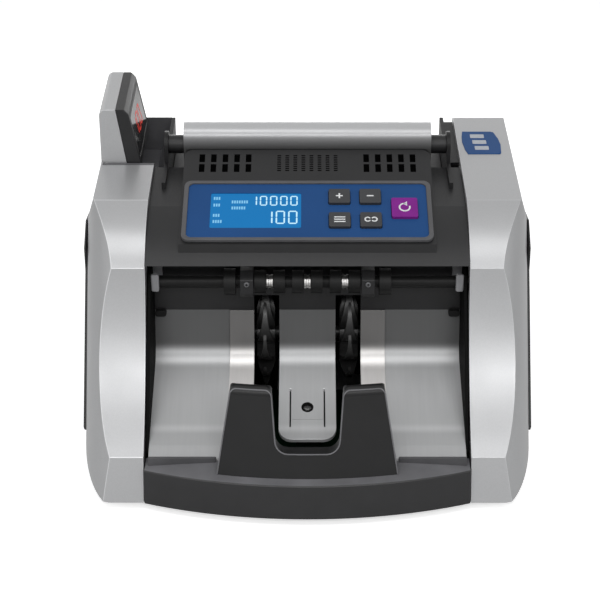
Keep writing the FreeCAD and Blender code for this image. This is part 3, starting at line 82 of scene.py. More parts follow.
class Finish:
    """A Principled material under construction: textures are in the frame of the solids, in metres."""

    def __init__(self, name, colour, roughness, metallic=0.0, **sockets):
        self.material = bpy.data.materials.new(name)
        self.material.use_nodes = True
        self.tree = self.material.node_tree
        self.shader = self.tree.nodes["Principled BSDF"]
        self.colour = colour
        self.shader.inputs["Base Color"].default_value = (*colour, 1)
        self.shader.inputs["Roughness"].default_value = roughness
        self.shader.inputs["Metallic"].default_value = metallic
        for socket, value in sockets.items():
            self.shader.inputs[socket.replace("_", " ")].default_value = value
        self.place = self.node("ShaderNodeTexCoord")

    def node(self, kind, **settings):
        made = self.tree.nodes.new(kind)
        for key, value in settings.items():
            setattr(made, key, value)
        return made

    def link(self, source, target):
        self.tree.links.new(source, target)

    def noise(self, scale, detail, stretch=(1, 1, 1)):
        """Noise with about scale features to the metre, drawn out along an axis by a small stretch."""
        mapping = self.node("ShaderNodeMapping")
        mapping.inputs["Scale"].default_value = stretch
        self.link(self.place.outputs["Object"], mapping.inputs["Vector"])
        texture = self.node("ShaderNodeTexNoise")
        texture.inputs["Scale"].default_value = scale
        texture.inputs["Detail"].default_value = detail
        self.link(mapping.outputs["Vector"], texture.inputs["Vector"])
        return texture.outputs["Fac"]

    def spread(self, value, start, end, low, high, **settings):
        """A value that runs from low to high as another goes from start to end."""
        made = self.node("ShaderNodeMapRange", **settings)
        made.inputs["From Min"].default_value = start
        made.inputs["From Max"].default_value = end
        made.inputs["To Min"].default_value = low
        made.inputs["To Max"].default_value = high
        self.link(value, made.inputs["Value"])
        return made.outputs["Result"]

    def vary_roughness(self, noise, low, high):
        rough = self.spread(noise, NOISE_LOW, NOISE_HIGH, low, high)
        self.link(rough, self.shader.inputs["Roughness"])
        return self

    def vary_colour(self, noise, low, high):
        """Darken and lighten the colour between two factors."""
        mix = self.node("ShaderNodeMix", data_type="RGBA")
        for socket, factor in ((MIX_A, low), (MIX_B, high)):
            mix.inputs[socket].default_value = (*(min(1, c * factor) for c in self.colour), 1)
        self.link(self.spread(noise, NOISE_LOW, NOISE_HIGH, 0, 1), mix.inputs[MIX_FACTOR])
        self.link(mix.outputs[MIX_RESULT], self.shader.inputs["Base Color"])
        return self

    def scale_colour(self, value, start, end, low, high):
        """Multiply a varied colour by a factor from low to high as a value goes from start to end."""
        factor = self.spread(value, start, end, low, high, interpolation_type="SMOOTHSTEP")
        product = self.node("ShaderNodeMix", data_type="RGBA", blend_type="MULTIPLY")
        product.inputs[MIX_FACTOR].default_value = 1
        base = self.shader.inputs["Base Color"]
        self.link(base.links[0].from_socket, product.inputs[MIX_A])
        self.link(factor, product.inputs[MIX_B])
        self.link(product.outputs[MIX_RESULT], base)
        return self

    def upward(self, vector):
        """The Z part of a vector."""
        split = self.node("ShaderNodeSeparateXYZ")
        self.link(vector, split.inputs["Vector"])
        return split.outputs["Z"]

    def fade(self, start, end, low, high):
        """Change the colour by a factor with the height in mm."""
        height = self.upward(self.place.outputs["Object"])
        return self.scale_colour(height, start * MM, end * MM, low, high)

    def paint_light_on_tops(self, factor):
        """Paint light onto the faces that look up, as a lighter colour."""
        normal = self.node("ShaderNodeNewGeometry").outputs["Normal"]
        return self.scale_colour(self.upward(normal), TOP_START, TOP_FULL, 1, factor)

    def bump(self, noise, height, strength):
        """Give the surface relief of a height in mm."""
        relief = self.node("ShaderNodeBump")
        relief.inputs["Strength"].default_value = strength
        relief.inputs["Distance"].default_value = height * MM
        self.link(noise, relief.inputs["Height"])
        self.link(relief.outputs["Normal"], self.shader.inputs["Normal"])
        return self


SILVER = (0.375, 0.378, 0.385)


def silver_paint(name="silver_paint", level=1.0):
    colour = tuple(level * c for c in SILVER)
    made = Finish(name, colour, roughness=0.33, metallic=0.42, Coat_Weight=0.25, Coat_Roughness=0.2)
    made.vary_colour(made.noise(scale=1100, detail=1), low=0.975, high=1.025)
    made.vary_roughness(made.noise(scale=35, detail=3), low=0.3, high=0.37)
    return made.bump(made.noise(scale=260, detail=2), height=0.02, strength=0.12)


def bar_silver_painted_shade():
    """Paint of the stop bar, with painted shade on the lower band of its front and a painted highlight along
    its top.
    """
    return silver_paint("bar_silver_painted_shade").fade(start=190, end=209, low=0.03, high=1.2)


# Share of blue in the dark plastic against its red and green
BLUE_TINT = 1.06


def charcoal_plastic(name="charcoal_plastic", level=0.012, roughness=0.4, gloss=0.3):
    """Grained dark plastic, with a touch of blue."""
    made = Finish(name, (level, level, level * BLUE_TINT), roughness, Specular_IOR_Level=gloss)
    grain = made.noise(scale=1500, detail=2)
    made.vary_colour(made.noise(scale=60, detail=3), low=0.9, high=1.15)
    made.vary_roughness(grain, low=roughness - 0.04, high=roughness + 0.07)
    return made.bump(grain, height=0.05, strength=0.25)


# Painted light and shade on the stacker's metal: a factor that runs from low to high between two heights in mm
STACKER_PAINTED_SHADES = [
    {"start": 42.2, "end": 44.4, "low": 1.16, "high": 1.0},  # light line at the lower bend
    {"start": 40.0, "end": 42.4, "low": 0.77, "high": 1.0},  # dark foot below it
    {"start": 44, "end": 60, "low": 0.94, "high": 1.25},  # brighter towards the upper bend
    {"start": 63, "end": 70, "low": 1.0, "high": 0.8},  # duller above it
    {"start": 69, "end": 79, "low": 1.0, "high": 0.2},  # dark under the exit
]


def stacker_metal_painted_shade(name, colour, roughness, metallic):
    """Satin metal of the stacker, with light and shade painted into its colour by height: lighter below the
    upper bend, darker above it.
    """
    made = Finish(name, colour, roughness, metallic)
    streak = made.noise(scale=500, detail=2, stretch=(1, 0.05, 0.05))
    made.vary_colour(streak, low=0.98, high=1.02)
    made.vary_roughness(streak, low=roughness - 0.02, high=roughness + 0.02)
    for shade in STACKER_PAINTED_SHADES:
        made.fade(**shade)
    return made


def bright_steel():
    made = Finish("bright_steel", (0.56, 0.55, 0.54), roughness=0.32, metallic=1.0)
    grain = made.noise(scale=900, detail=2)
    made.vary_colour(grain, low=0.95, high=1.04)
    return made.vary_roughness(grain, low=0.29, high=0.36)


def frame_steel():
    made = Finish("frame_steel", (0.005, 0.005, 0.005), roughness=0.7, Specular_IOR_Level=0.04)
    grain = made.noise(scale=800, detail=3)
    made.vary_colour(grain, low=0.85, high=1.15)
    made.vary_roughness(grain, low=0.62, high=0.8)
    return made.bump(grain, height=0.05, strength=0.3)


def blue_overlay():
    made = Finish("blue_overlay", (0.016, 0.066, 0.20), roughness=0.4, Specular_IOR_Level=0.1)
    made.vary_colour(made.noise(scale=18, detail=2), low=0.93, high=1.07)
    grain = made.noise(scale=2200, detail=1)
    made.vary_roughness(grain, low=0.36, high=0.46)
    return made.bump(grain, height=0.02, strength=0.2)


UNLIT_SHARE = 0.3


def glowing(name, colour, strength):
    """A lit face: most of its colour is its own light."""
    unlit = tuple(UNLIT_SHARE * c for c in colour)
    made = Finish(name, unlit, roughness=0.3, Specular_IOR_Level=0.1)
    made.shader.inputs["Emission Color"].default_value = (*colour, 1)
    made.shader.inputs["Emission Strength"].default_value = strength
    return made.vary_colour(made.noise(scale=40, detail=1), low=0.95, high=1.05)


def smoked_window(name, level):
    made = Finish(name, (level, level, level), roughness=0.12, Coat_Weight=0.2)
    made.vary_colour(made.noise(scale=50, detail=2), low=0.9, high=1.1)
    return made.vary_roughness(made.noise(scale=70, detail=3), low=0.08, high=0.18)


def moulded(name, colour, roughness=0.45, gloss=0.3):
    made = Finish(name, colour, roughness, Specular_IOR_Level=gloss)
    grain = made.noise(scale=1400, detail=2)
    made.vary_colour(made.noise(scale=90, detail=2), low=0.92, high=1.1)
    made.vary_roughness(grain, low=roughness - 0.06, high=roughness + 0.08)
    return made.bump(grain, height=0.05, strength=0.3)


def printed(name, colour):
    made = Finish(name, colour, roughness=0.5)
    return made.vary_colour(made.noise(scale=500, detail=2), low=0.93, high=1.05)


def board_green():
    made = Finish("board_green", (0.0015, 0.010, 0.004), roughness=0.4, Specular_IOR_Level=0.2)
    return made.vary_colour(made.noise(scale=400, detail=2), low=0.8, high=1.2)


def brass():
    made = Finish("brass", (0.60, 0.42, 0.16), roughness=0.3, metallic=1.0)
    return made.vary_roughness(made.noise(scale=900, detail=2), low=0.24, high=0.38)


# Finish of each material slot, of the nodes that differ from their slot, and of small pieces and painted edge
# highlights
FINISHES = {
    "silver_paint": silver_paint(),
    "charcoal_plastic": charcoal_plastic(),
    "plate_silver": stacker_metal_painted_shade("plate_silver", (0.42, 0.425, 0.43), roughness=0.34, metallic=0.3),
    "bright_steel": bright_steel(),
    "frame_steel": frame_steel(),
    "blue_overlay": blue_overlay(),
    "lcd": glowing("lcd", (0.008, 0.175, 0.46), strength=0.75),
    "window": smoked_window("window", level=0.012),
    "key_grey": moulded("key_grey", (0.036, 0.037, 0.04)),
    "key_purple": moulded("key_purple", (0.20, 0.017, 0.23), gloss=0.15),
    "rubber": moulded("rubber", (0.010, 0.010, 0.010), roughness=0.7, gloss=0.15),
    "rotor_plastic": moulded("rotor_plastic", (0.03, 0.03, 0.03), roughness=0.36, gloss=0.5),
    "board_green": board_green(),
    "brass": brass(),
}
NODE_FINISHES = {
    "hopper_bar": bar_silver_painted_shade(),
    "left_stacker_skid": stacker_metal_painted_shade("skid_steel", (0.64, 0.625, 0.615), roughness=0.31, metallic=0.4),
    # The bezel is painted lighter than the dark plastic, as a painted highlight for its lower lip
    "control_bezel": charcoal_plastic("bezel_painted_highlight", level=0.08, roughness=0.42),
    # The pan's upward faces, the ledge among them, get painted light: a colour ten times lighter
    "base_pan": charcoal_plastic("pan_charcoal", level=0.014, roughness=0.34, gloss=0.4).paint_light_on_tops(10),
    "stacker_guide": charcoal_plastic("guide_charcoal", level=0.007, roughness=0.34),
    "exit_cover": charcoal_plastic("exit_black", roughness=0.34),
    "exit_rotor": moulded("roller_rubber", (0.007, 0.007, 0.007), roughness=0.5, gloss=0.2),
    # The cradle is painted lighter grey as painted light in its deep, shaded well
    "display_cradle": charcoal_plastic("cradle_painted_light", level=0.10, roughness=0.42),
    "left_hopper_guide": charcoal_plastic("guide_black", level=0.008, gloss=0.2),
    "switch_housing": charcoal_plastic("housing_grey", level=0.03, roughness=0.38, gloss=0.4),
    "power_inlet": charcoal_plastic("inlet_grey", level=0.03, roughness=0.38, gloss=0.4),
    "power_rocker": charcoal_plastic("rocker_grey", level=0.06, roughness=0.36, gloss=0.5),
    "exit_edge_pads": moulded("pad_grey", (0.22, 0.22, 0.23), roughness=0.4),
}
NODE_FINISHES["right_hopper_guide"] = NODE_FINISHES["left_hopper_guide"]
NODE_FINISHES["right_stacker_skid"] = NODE_FINISHES["left_stacker_skid"]
DIGIT_LIGHT = glowing("digit_light", (0.55, 0.86, 1.0), strength=0.75)
LABEL_LIGHT = glowing("label_light", (0.22, 0.55, 0.82), strength=0.75)
LID_LIGHT = glowing("lid_light", (0.62, 0.035, 0.02), strength=0.7)
LEGEND = printed("legend", (0.70, 0.71, 0.72))
STRIPE = printed("stripe", (0.42, 0.44, 0.48))
LENS = smoked_window("lens", level=0.005)
# Near-black and matt: painted shade inside the vent openings
VENT_SHADE = moulded("vent_painted_shade", (0.0015, 0.0015, 0.0015), roughness=0.9, gloss=0.0)
# Pale grey of a painted highlight along the horn edges
HORN_HIGHLIGHT = charcoal_plastic("horn_painted_highlight", level=0.13, roughness=0.36, gloss=0.4)
# Lighter grey of the sills: painted light on the ledge
SILL_PAINTED_LIGHT = charcoal_plastic("sill_painted_light", level=0.075, roughness=0.38)
SCREW_STEEL = charcoal_plastic("screw_steel", level=0.10, roughness=0.34, gloss=0.6)
# Brighter silver on the bevels of panels and lid: a painted highlight along their edges
PANEL_EDGE_HIGHLIGHT = silver_paint("silver_painted_highlight", level=1.5)


# CAD nodes: finish by slot, moulded edges, and painted highlights on some edges

WELD_MM = 0.01
FLAT_DEGREES = 0.3
EDGE_SEGMENTS = 3
HIGHLIGHT_INDEX = 1
EDGE_MM = 0.3
NODE_EDGES_MM = {
    "left_side_panel": 2.2, "right_side_panel": 2.2, "left_side_trim": 0.8, "right_side_trim": 0.8,
    "base_pan": 0.9, "stacker_guide": 1.8, "upper_cover": 0.5, "console": 0.6, "control_bezel": 0.5,
    "hopper_bar": 0.8, "display_lid_shell": 1.0, "display_lid_bezel": 0.8, "left_hopper_guide": 0.5,
    "right_hopper_guide": 0.5, "stacker_rotor": 0.15, "exit_rotor": 0.4, "exit_sensors": 0.5,
    "key_plus": 0.5, "key_minus": 0.5, "key_batch": 0.5, "key_mode": 0.5, "key_reset": 0.5,
    "gap_knob": 0.6, "power_rocker": 0.5,
}
SHARP_DEGREES = 32
NODE_SHARP_DEGREES = {"left_side_panel": 11, "right_side_panel": 11}
EDGE_HIGHLIGHTS = dict.fromkeys(("left_side_panel", "right_side_panel", "display_lid_shell"), PANEL_EDGE_HIGHLIGHT)


def soften(node, width, sharp, edge_highlight):
    """Round the edges of a solid that are sharper than an angle, and give the rounding a lighter finish as a
    painted highlight where one is given.
    """
    weld = node.modifiers.new("weld", "WELD")
    weld.merge_threshold = WELD_MM * MM
    if edge_highlight:
        # Without its triangles a flat face leaves the bevel room
        flats = node.modifiers.new("flats", "DECIMATE")
        flats.decimate_type = "DISSOLVE"
        flats.angle_limit = math.radians(FLAT_DEGREES)
    bevel = node.modifiers.new("edges", "BEVEL")
    bevel.width = width * MM
    bevel.segments = EDGE_SEGMENTS
    bevel.limit_method = "ANGLE"
    bevel.angle_limit = math.radians(sharp)
    if edge_highlight:
        node.data.materials.append(edge_highlight.material)
        bevel.material = HIGHLIGHT_INDEX
    normals = node.modifiers.new("normals", "WEIGHTED_NORMAL")
    normals.keep_sharp = True


def dress_nodes():
    """Give every CAD node the finish of its slot or its own, and rounded edges."""
    for part in frame["record"]["subparts"]:
        name = part["node"]
        node = nodes[name]
        finish = NODE_FINISHES.get(name, FINISHES[part["material_slot"]])
        node.data.materials.clear()
        node.data.materials.append(finish.material)
        soften(node, NODE_EDGES_MM.get(name, EDGE_MM), NODE_SHARP_DEGREES.get(name, SHARP_DEGREES),
               EDGE_HIGHLIGHTS.get(name))


# Small pieces, made as meshes in a local frame: X across, Y up the face, Z out of it, in mm

def tilted(y, z, degrees):
    """A face through a line across the machine, leaning up to the rear from level."""
    return Matrix.Translation(Vector((0, y, z)) * MM) @ Matrix.Rotation(math.radians(degrees), 4, "X")


def upright(y):
    """A face that looks to the front at a depth: Y of the piece is up."""
    return tilted(y, 0, 90)


def backward(y):
    """A face that looks to the rear at a depth: X of the piece runs to the operator's left."""
    return upright(y) @ Matrix.Rotation(math.pi, 4, "Y")


def flank(side):
    """The outer side of a panel: Y of the piece is up, and X runs to the rear on the right side."""
    return Matrix(((0, 0, side, 0), (side, 0, 0, 0), (0, 1, 0, 0), (0, 0, 0, 1)))


# Control face of the console, tops of the side panels, and the face with the vents
FACE = tilted(y=-32, z=152, degrees=27)
CROWN = tilted(y=-1.6, z=171.2, degrees=12.441)
VENT = tilted(y=17.9, z=177.4, degrees=28)

# Inner face of the standing lid, by its distance from the middle and its height over the crown
LID_FOOT, LID_FOOT_HEIGHT = 110.7, -2
LID_TOP, LID_TOP_HEIGHT = 118, 31.6
LID_LEAN = math.atan2(LID_TOP - LID_FOOT, LID_TOP_HEIGHT - LID_FOOT_HEIGHT)
LID_FACE = CROWN @ Matrix.Translation(Vector((-LID_FOOT, 0, LID_FOOT_HEIGHT)) * MM) @ Matrix((
    (0, -math.sin(LID_LEAN), math.cos(LID_LEAN), 0),
    (1, 0, 0, 0),
    (0, math.cos(LID_LEAN), math.sin(LID_LEAN), 0),
    (0, 0, 0, 1)))


def add_piece(name, mesh, place, finish, body="chassis"):
    """Put a piece made in mm at its place and let it ride on a body."""
    bmesh.ops.recalc_face_normals(mesh, faces=mesh.faces)
    data = bpy.data.meshes.new(name)
    mesh.to_mesh(data)
    mesh.free()
    data.transform(place @ Matrix.Scale(MM, 4))
    data.materials.append(finish.material)
    piece = bpy.data.objects.new(name, data)
    bpy.context.scene.collection.objects.link(piece)
    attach(piece, body)


def inset(outline, distance):
    """A closed outline moved inwards."""
    moved = []
    for i, here in enumerate(outline):
        before, after = outline[i - 1], outline[(i + 1) % len(outline)]
        one = Vector((here[1] - before[1], before[0] - here[0])).normalized()
        two = Vector((after[1] - here[1], here[0] - after[0])).normalized()
        step = (one + two) * (distance / (1 + one.dot(two)))
        moved.append((here[0] - step.x, here[1] - step.y))
    return moved


def stack_rings(mesh, rings):
    """A closed skin over rings of points, from the lowest ring to the highest."""
    made = [[mesh.verts.new(point) for point in ring] for ring in rings]
    for low, high in zip(made, made[1:]):
        for i in range(len(low)):
            j = (i + 1) % len(low)
            mesh.faces.new((low[i], low[j], high[j], high[i]))
    mesh.faces.new(made[0][::-1])
    mesh.faces.new(made[-1])


ROUND_STEPS = 3


def slab(mesh, outline, low, high, edge=0.0):
    """A plate on an outline, with its upper edge rounded."""
    area = sum(a[0] * b[1] - b[0] * a[1] for a, b in zip(outline, outline[1:] + outline[:1]))
    if area < 0:
        outline = outline[::-1]
    rings = [[(x, y, low) for x, y in outline]]
    if edge:
        for step in range(ROUND_STEPS + 1):
            angle = math.pi / 2 * step / ROUND_STEPS
            height = high - edge + edge * math.sin(angle)
            ring = inset(outline, edge * (1 - math.cos(angle))) if step else outline
            rings.append([(x, y, height) for x, y in ring])
    else:
        rings.append([(x, y, high) for x, y in outline])
    stack_rings(mesh, rings)


def rectangle(x, y, width, height, radius=0.0):
    """A rectangle about a middle, with rounded corners."""
    if not radius:
        corners = ((-1, -1), (1, -1), (1, 1), (-1, 1))
        return [(x + sx * width / 2, y + sy * height / 2) for sx, sy in corners]
    points = []
    for quarter, (sx, sy) in enumerate(((1, 1), (-1, 1), (-1, -1), (1, -1))):
        for step in range(ROUND_STEPS + 1):
            angle = math.pi / 2 * (quarter + step / ROUND_STEPS)
            points.append((x + sx * (width / 2 - radius) + radius * math.cos(angle),
                           y + sy * (height / 2 - radius) + radius * math.sin(angle)))
    return points


def arc(x, y, radius, start, end, steps):
    """Points on an arc between two angles in degrees."""
    turns = [math.radians(start + (end - start) * i / steps) for i in range(steps + 1)]
    return [(x + radius * math.cos(turn), y + radius * math.sin(turn)) for turn in turns]


LATHE_SIDES = 28


def lathe(mesh, x, y, profile):
    """A turned form about a point: the profile lists (radius, height) from the foot up."""
    turns = [2 * math.pi * i / LATHE_SIDES for i in range(LATHE_SIDES)]
    stack_rings(mesh, [[(x + radius * math.cos(turn), y + radius * math.sin(turn), z) for turn in turns]
                       for radius, z in profile])


# Screen and lid: lit digits, and rows of bars where the screen has its small signs

# Bars of each digit, and where each bar starts and ends: widths across and half heights up
DIGIT_BARS = {"0": "abcdef", "1": "bc"}
BAR_ENDS = {"a": ((0, 2), (1, 2)), "b": ((1, 1), (1, 2)), "c": ((1, 0), (1, 1)), "d": ((0, 0), (1, 0)),
            "e": ((0, 0), (0, 1)), "f": ((0, 1), (0, 2))}
# Gaps at a bar's ends and between digits, in strokes
BAR_GAP = 0.12
DIGIT_GAP = 2.9
PRINT = 0.08
SCREEN_TOP = 0.9
WINDOW_TOP = 0
# Middle of a row's first bar, and its number of bars
SIGN_ROWS = [(-59.6, 39.6, 3), (-59.6, 33.6, 3), (-48.0, 36.4, 7), (-48.0, 31.0, 6), (-59.6, 24.4, 3),
             (-59.6, 19.0, 4)]
SIGN_PITCH, SIGN_WIDTH, SIGN_HEIGHT = 1.55, 1.05, 2.5


def digit_bar(letter, x, y, width, height, stroke):
    """The outline of one bar of a seven-segment digit whose lower left corner is at x, y."""
    start, end = [Vector((x + u * width, y + v * height / 2)) for u, v in BAR_ENDS[letter]]
    along = (end - start).normalized()
    across = Vector((-along.y, along.x)) * stroke / 2
    gap = along * stroke * BAR_GAP
    start, end = start + gap, end - gap
    tip = along * stroke / 2
    points = [start, start + tip - across, end - tip - across, end, end - tip + across, start + tip + across]
    return [tuple(point) for point in points]


def digits(text, top, x, y, width, height, stroke):
    """Seven-segment digits on a face, from the lower left corner of the first."""
    mesh = bmesh.new()
    pitch = width + DIGIT_GAP * stroke
    for i, digit in enumerate(text):
        for letter in DIGIT_BARS[digit]:
            slab(mesh, digit_bar(letter, x + i * pitch, y, width, height, stroke), top - PRINT, top + PRINT)
    return mesh


def add_screen_marks():
    """Two lit counts on the screen, one on the lid, and short bars for the small signs of the screen."""
    count = digits("10000", SCREEN_TOP, x=-36.6, y=33.6, width=3.9, height=7.8, stroke=0.9)
    add_piece("count_digits", count, FACE, DIGIT_LIGHT)
    batch = digits("100", SCREEN_TOP, x=-27.6, y=17.4, width=5.0, height=10.6, stroke=1.0)
    add_piece("batch_digits", batch, FACE, DIGIT_LIGHT)
    lid = digits("100", WINDOW_TOP, x=66, y=12.0, width=6.6, height=12.0, stroke=1.2)
    add_piece("lid_digits", lid, LID_FACE, LID_LIGHT, "display_lid")
    signs = bmesh.new()
    for x, y, bars in SIGN_ROWS:
        for i in range(bars):
            bar = rectangle(x + SIGN_PITCH * i, y, SIGN_WIDTH, SIGN_HEIGHT)
            slab(signs, bar, SCREEN_TOP, SCREEN_TOP + PRINT)
    add_piece("screen_signs", signs, FACE, LABEL_LIGHT)


# Key legends

KEY_TOP = 3.2
# Columns and rows of the keys on the control face
NEAR_COLUMN, FAR_COLUMN, RESET_COLUMN = 20.5, 40.3, 62
LOW_ROW, HIGH_ROW, RESET_ROW = 18.8, 39.8, 29.5
PLUS_LENGTH, PLUS_STROKE = 4.4, 1.0
LINE_LENGTH, LINE_STROKE, LINE_PITCH = 7.0, 0.9, 2.0
HOOK_RADIUS, HOOK_STROKE, HOOK_OFFSET, HOOK_DEGREES = 1.7, 0.9, 2.1, 150
TURN_RADIUS, TURN_STROKE, TURN_START, TURN_END = 3.3, 1.1, 70, 380
TURN_TIP = [(-1.1, 3.1), (1.6, 5.2), (1.6, 1.2)]


def arc_band(x, y, radius, stroke, start, end, steps=18):
    """The outline of a part of a ring."""
    outer = arc(x, y, radius + stroke / 2, start, end, steps)
    inner = arc(x, y, radius - stroke / 2, start, end, steps)
    return outer + inner[::-1]


def add_legend(name, outlines, body):
    mesh = bmesh.new()
    for outline in outlines:
        slab(mesh, outline, KEY_TOP - PRINT, KEY_TOP + PRINT)
    add_piece(name, mesh, FACE, LEGEND, body)


def hook(side):
    """Half of the mode key's sign: a ring that is open towards the other half."""
    middle = 0 if side > 0 else 180
    return arc_band(FAR_COLUMN + HOOK_OFFSET * side, LOW_ROW, HOOK_RADIUS, HOOK_STROKE,
                    middle - HOOK_DEGREES, middle + HOOK_DEGREES)


def add_legends():
    """A plus, a minus, three lines, two hooks and a turning arrow."""
    arm = (PLUS_LENGTH - PLUS_STROKE) / 2
    reach = (PLUS_STROKE + arm) / 2
    plus = [rectangle(NEAR_COLUMN, HIGH_ROW, PLUS_LENGTH, PLUS_STROKE)]
    plus += [rectangle(NEAR_COLUMN, HIGH_ROW + reach * side, PLUS_STROKE, arm) for side in (1, -1)]
    add_legend("legend_plus", plus, "plus_key")
    add_legend("legend_minus", [rectangle(FAR_COLUMN, HIGH_ROW, PLUS_LENGTH, PLUS_STROKE)], "minus_key")
    lines = [rectangle(NEAR_COLUMN, LOW_ROW + LINE_PITCH * row, LINE_LENGTH, LINE_STROKE) for row in (-1, 0, 1)]
    add_legend("legend_batch", lines, "batch_key")
    add_legend("legend_mode", [hook(-1), hook(1)], "mode_key")
    ring = arc_band(RESET_COLUMN, RESET_ROW, TURN_RADIUS, TURN_STROKE, TURN_START, TURN_END)
    tip = [(RESET_COLUMN + x, RESET_ROW + y) for x, y in TURN_TIP]
    add_legend("legend_reset", [ring, tip], "reset_key")


# Badge plate, screws, sensor eye and small blocks

BADGE = [(106.6, 92.0), (126.1, 92.0), (128.1, 90.8), (130.4, 81.8), (131.3, 73.7), (130.6, 62.0),
         (129.6, 60.5), (108.1, 60.4), (106.6, 66.4), (105.4, 77.3), (105.7, 84.8)]
STRIPES = [(116.2, 84.9), (117.1, 76.6), (118.0, 68.3)]


def add_badge():
    """Bare plate on the right panel, with three plain inlaid stripes."""
    plate = bmesh.new()
    slab(plate, BADGE, low=-0.3, high=0.5, edge=0.3)
    add_piece("badge_plate", plate, CROWN, FINISHES["blue_overlay"])
    stripes = bmesh.new()
    for x, y in STRIPES:
        slab(stripes, rectangle(x, y, width=9.4, height=5.2, radius=0.6), low=0.3, high=0.58)
    add_piece("badge_stripes", stripes, CROWN, STRIPE)


# Domed head of a screw, in radii
SCREW_HEAD = [(1, 0.25), (0.9, 0.42), (0.7, 0.52)]
SCREW_FOOT = -0.4
CROSS_FOOT = 0.6
# The arms of a cross are not quite level, so that no two faces share a plane
CROSS_STEP = 0.01


def add_screws(kind, centres, radius, cross_length, cross_width, cross_top, place):
    """Pan-head screws on a face, each with a dark cross on its head."""
    heads, crosses = bmesh.new(), bmesh.new()
    profile = [(radius, SCREW_FOOT)] + [(r * radius, z * radius) for r, z in SCREW_HEAD]
    for x, y in centres:
        lathe(heads, x, y, profile)
        slab(crosses, rectangle(x, y, cross_length, cross_width), CROSS_FOOT, cross_top)
        slab(crosses, rectangle(x, y, cross_width, cross_length), CROSS_FOOT, cross_top - CROSS_STEP)
    add_piece(kind + "_screws", heads, place, SCREW_STEEL)
    add_piece(kind + "_screw_slots", crosses, place, FINISHES["frame_steel"])


def add_all_screws():
    add_screws("sensor", [(-38.5, 125.4), (38.5, 125.4)], radius=1.7,
               cross_length=1.9, cross_width=0.5, cross_top=0.95, place=upright(-33.1))
    add_screws("rear", [(-137.6, 30), (137.6, 30), (-137.6, 130), (137.6, 130)], radius=2.2,
               cross_length=2.5, cross_width=0.6, cross_top=1.2, place=backward(117))


# Top of the tongue in depth and height, and the sensor on it
TONGUE_FOOT, TONGUE_TOP = Vector((-81, 36)), Vector((-19, 70))
TONGUE_RUN = TONGUE_TOP - TONGUE_FOOT
TONGUE_SLOPE = math.atan2(TONGUE_RUN.y, TONGUE_RUN.x)
EYE_Y = -55.5
EYE_Z = TONGUE_FOOT.y + (EYE_Y - TONGUE_FOOT.x) * math.tan(TONGUE_SLOPE)
COLLAR = [(3.0, -1.6), (3.9, 0.0), (3.9, 0.35), (3.6, 0.6), (3.0, 0.65), (2.6, 0.4), (2.6, -1.5)]
DOME = [(2.6, -1.4), (2.6, 0.35), (2.25, 0.6), (1.5, 0.82), (0.6, 0.92)]
# The tab lifts from the sheet towards its lower, free end
TAB_MIDDLE, TAB_WIDTH, TAB_HEIGHT, TAB_CORNER = 2.05, 20.4, 23.1, 0.8
TAB_FOOT, TAB_LEVEL, TAB_RISE, TAB_CHAMFER = -0.3, 0.05, 0.01, 0.06


def add_eye():
    """Sensor in the tongue: a raised collar, a domed lens and the sprung tab round them."""
    place = tilted(EYE_Y, EYE_Z, math.degrees(TONGUE_SLOPE))
    collar = bmesh.new()
    lathe(collar, 0, 0, COLLAR)
    add_piece("eye_collar", collar, place, FINISHES["frame_steel"])
    dome = bmesh.new()
    lathe(dome, 0, 0, DOME)
    add_piece("eye_lens", dome, place, LENS)
    tab = bmesh.new()
    outline = rectangle(0, TAB_MIDDLE, TAB_WIDTH, TAB_HEIGHT, TAB_CORNER)
    held_end = TAB_MIDDLE + TAB_HEIGHT / 2
    rings = [[(x, y, TAB_FOOT) for x, y in outline]]
    for step in (0, TAB_CHAMFER):
        rings.append([(x, y, TAB_LEVEL + TAB_RISE * (held_end - y) + step) for x, y in inset(outline, step)])
    stack_rings(tab, rings)
    add_piece("tongue_tab", tab, place, FINISHES["plate_silver"])


def pair(x, z, width, height, radius, low, high, edge):
    """A rounded block on each side of the machine."""
    mesh = bmesh.new()
    for side in (-1, 1):
        slab(mesh, rectangle(side * x, z, width, height, radius), low, high, edge)
    return mesh


def add_stops():
    """Two rubber stops under the exit cover, at the ends of the stacker plates."""
    stops = pair(x=95.2, z=99.0, width=7.2, height=4.2, radius=1.6, low=-2.2, high=1.6, edge=0.7)
    add_piece("plate_stops", stops, upright(-16.2), FINISHES["rubber"])


def add_sills():
    """Sills on the ledge, before the lower edges of the stacker plates, in a lighter grey that paints light
    onto the ledge.
    """
    sills = pair(x=78, z=28.8, width=42.4, height=8.0, radius=0.6, low=0, high=1.4, edge=0.5)
    add_piece("plate_sills", sills, upright(-90.0), SILL_PAINTED_LIGHT)


def add_shaft_caps():
    """Pale keepers on the side frames, in front of the ends of the exit shaft."""
    caps = pair(x=96.7, z=125.2, width=5.0, height=11.6, radius=1.2, low=0, high=2.4, edge=0.8)
    add_piece("shaft_caps", caps, upright(-28.4), NODE_FINISHES["exit_edge_pads"])


# Horns: their front leans back over a bow about an upright axis, and rounds off at the top

BOW_CENTRE = 150
HORN_LOW, HORN_LOW_RADIUS = 13, 263
HORN_HIGH, HORN_HIGH_RADIUS = 76, 245.5
HORN_ROUNDING = 5
CORNER_STEPS = 6
# Right half of the front edge, from the outer foot to the middle of the gap
HORN_HALF = [
    (55.6, 27.6), (51.6, 52),
    *arc(43.6, 75.6, 4, 0, 90, CORNER_STEPS),
    (39, 79.6), (34.8, 79.6), (30, 79.6),
    *arc(25.9, 75.6, 4, 90, 180, CORNER_STEPS),
    (21, 63),
    *arc(12, 50, 8, 0, -90, CORNER_STEPS),
    (6, 42),
]
HORN_MIDDLE = (0, 42)
ROD_RADIUS = 0.45
ROD_SIDES = 8


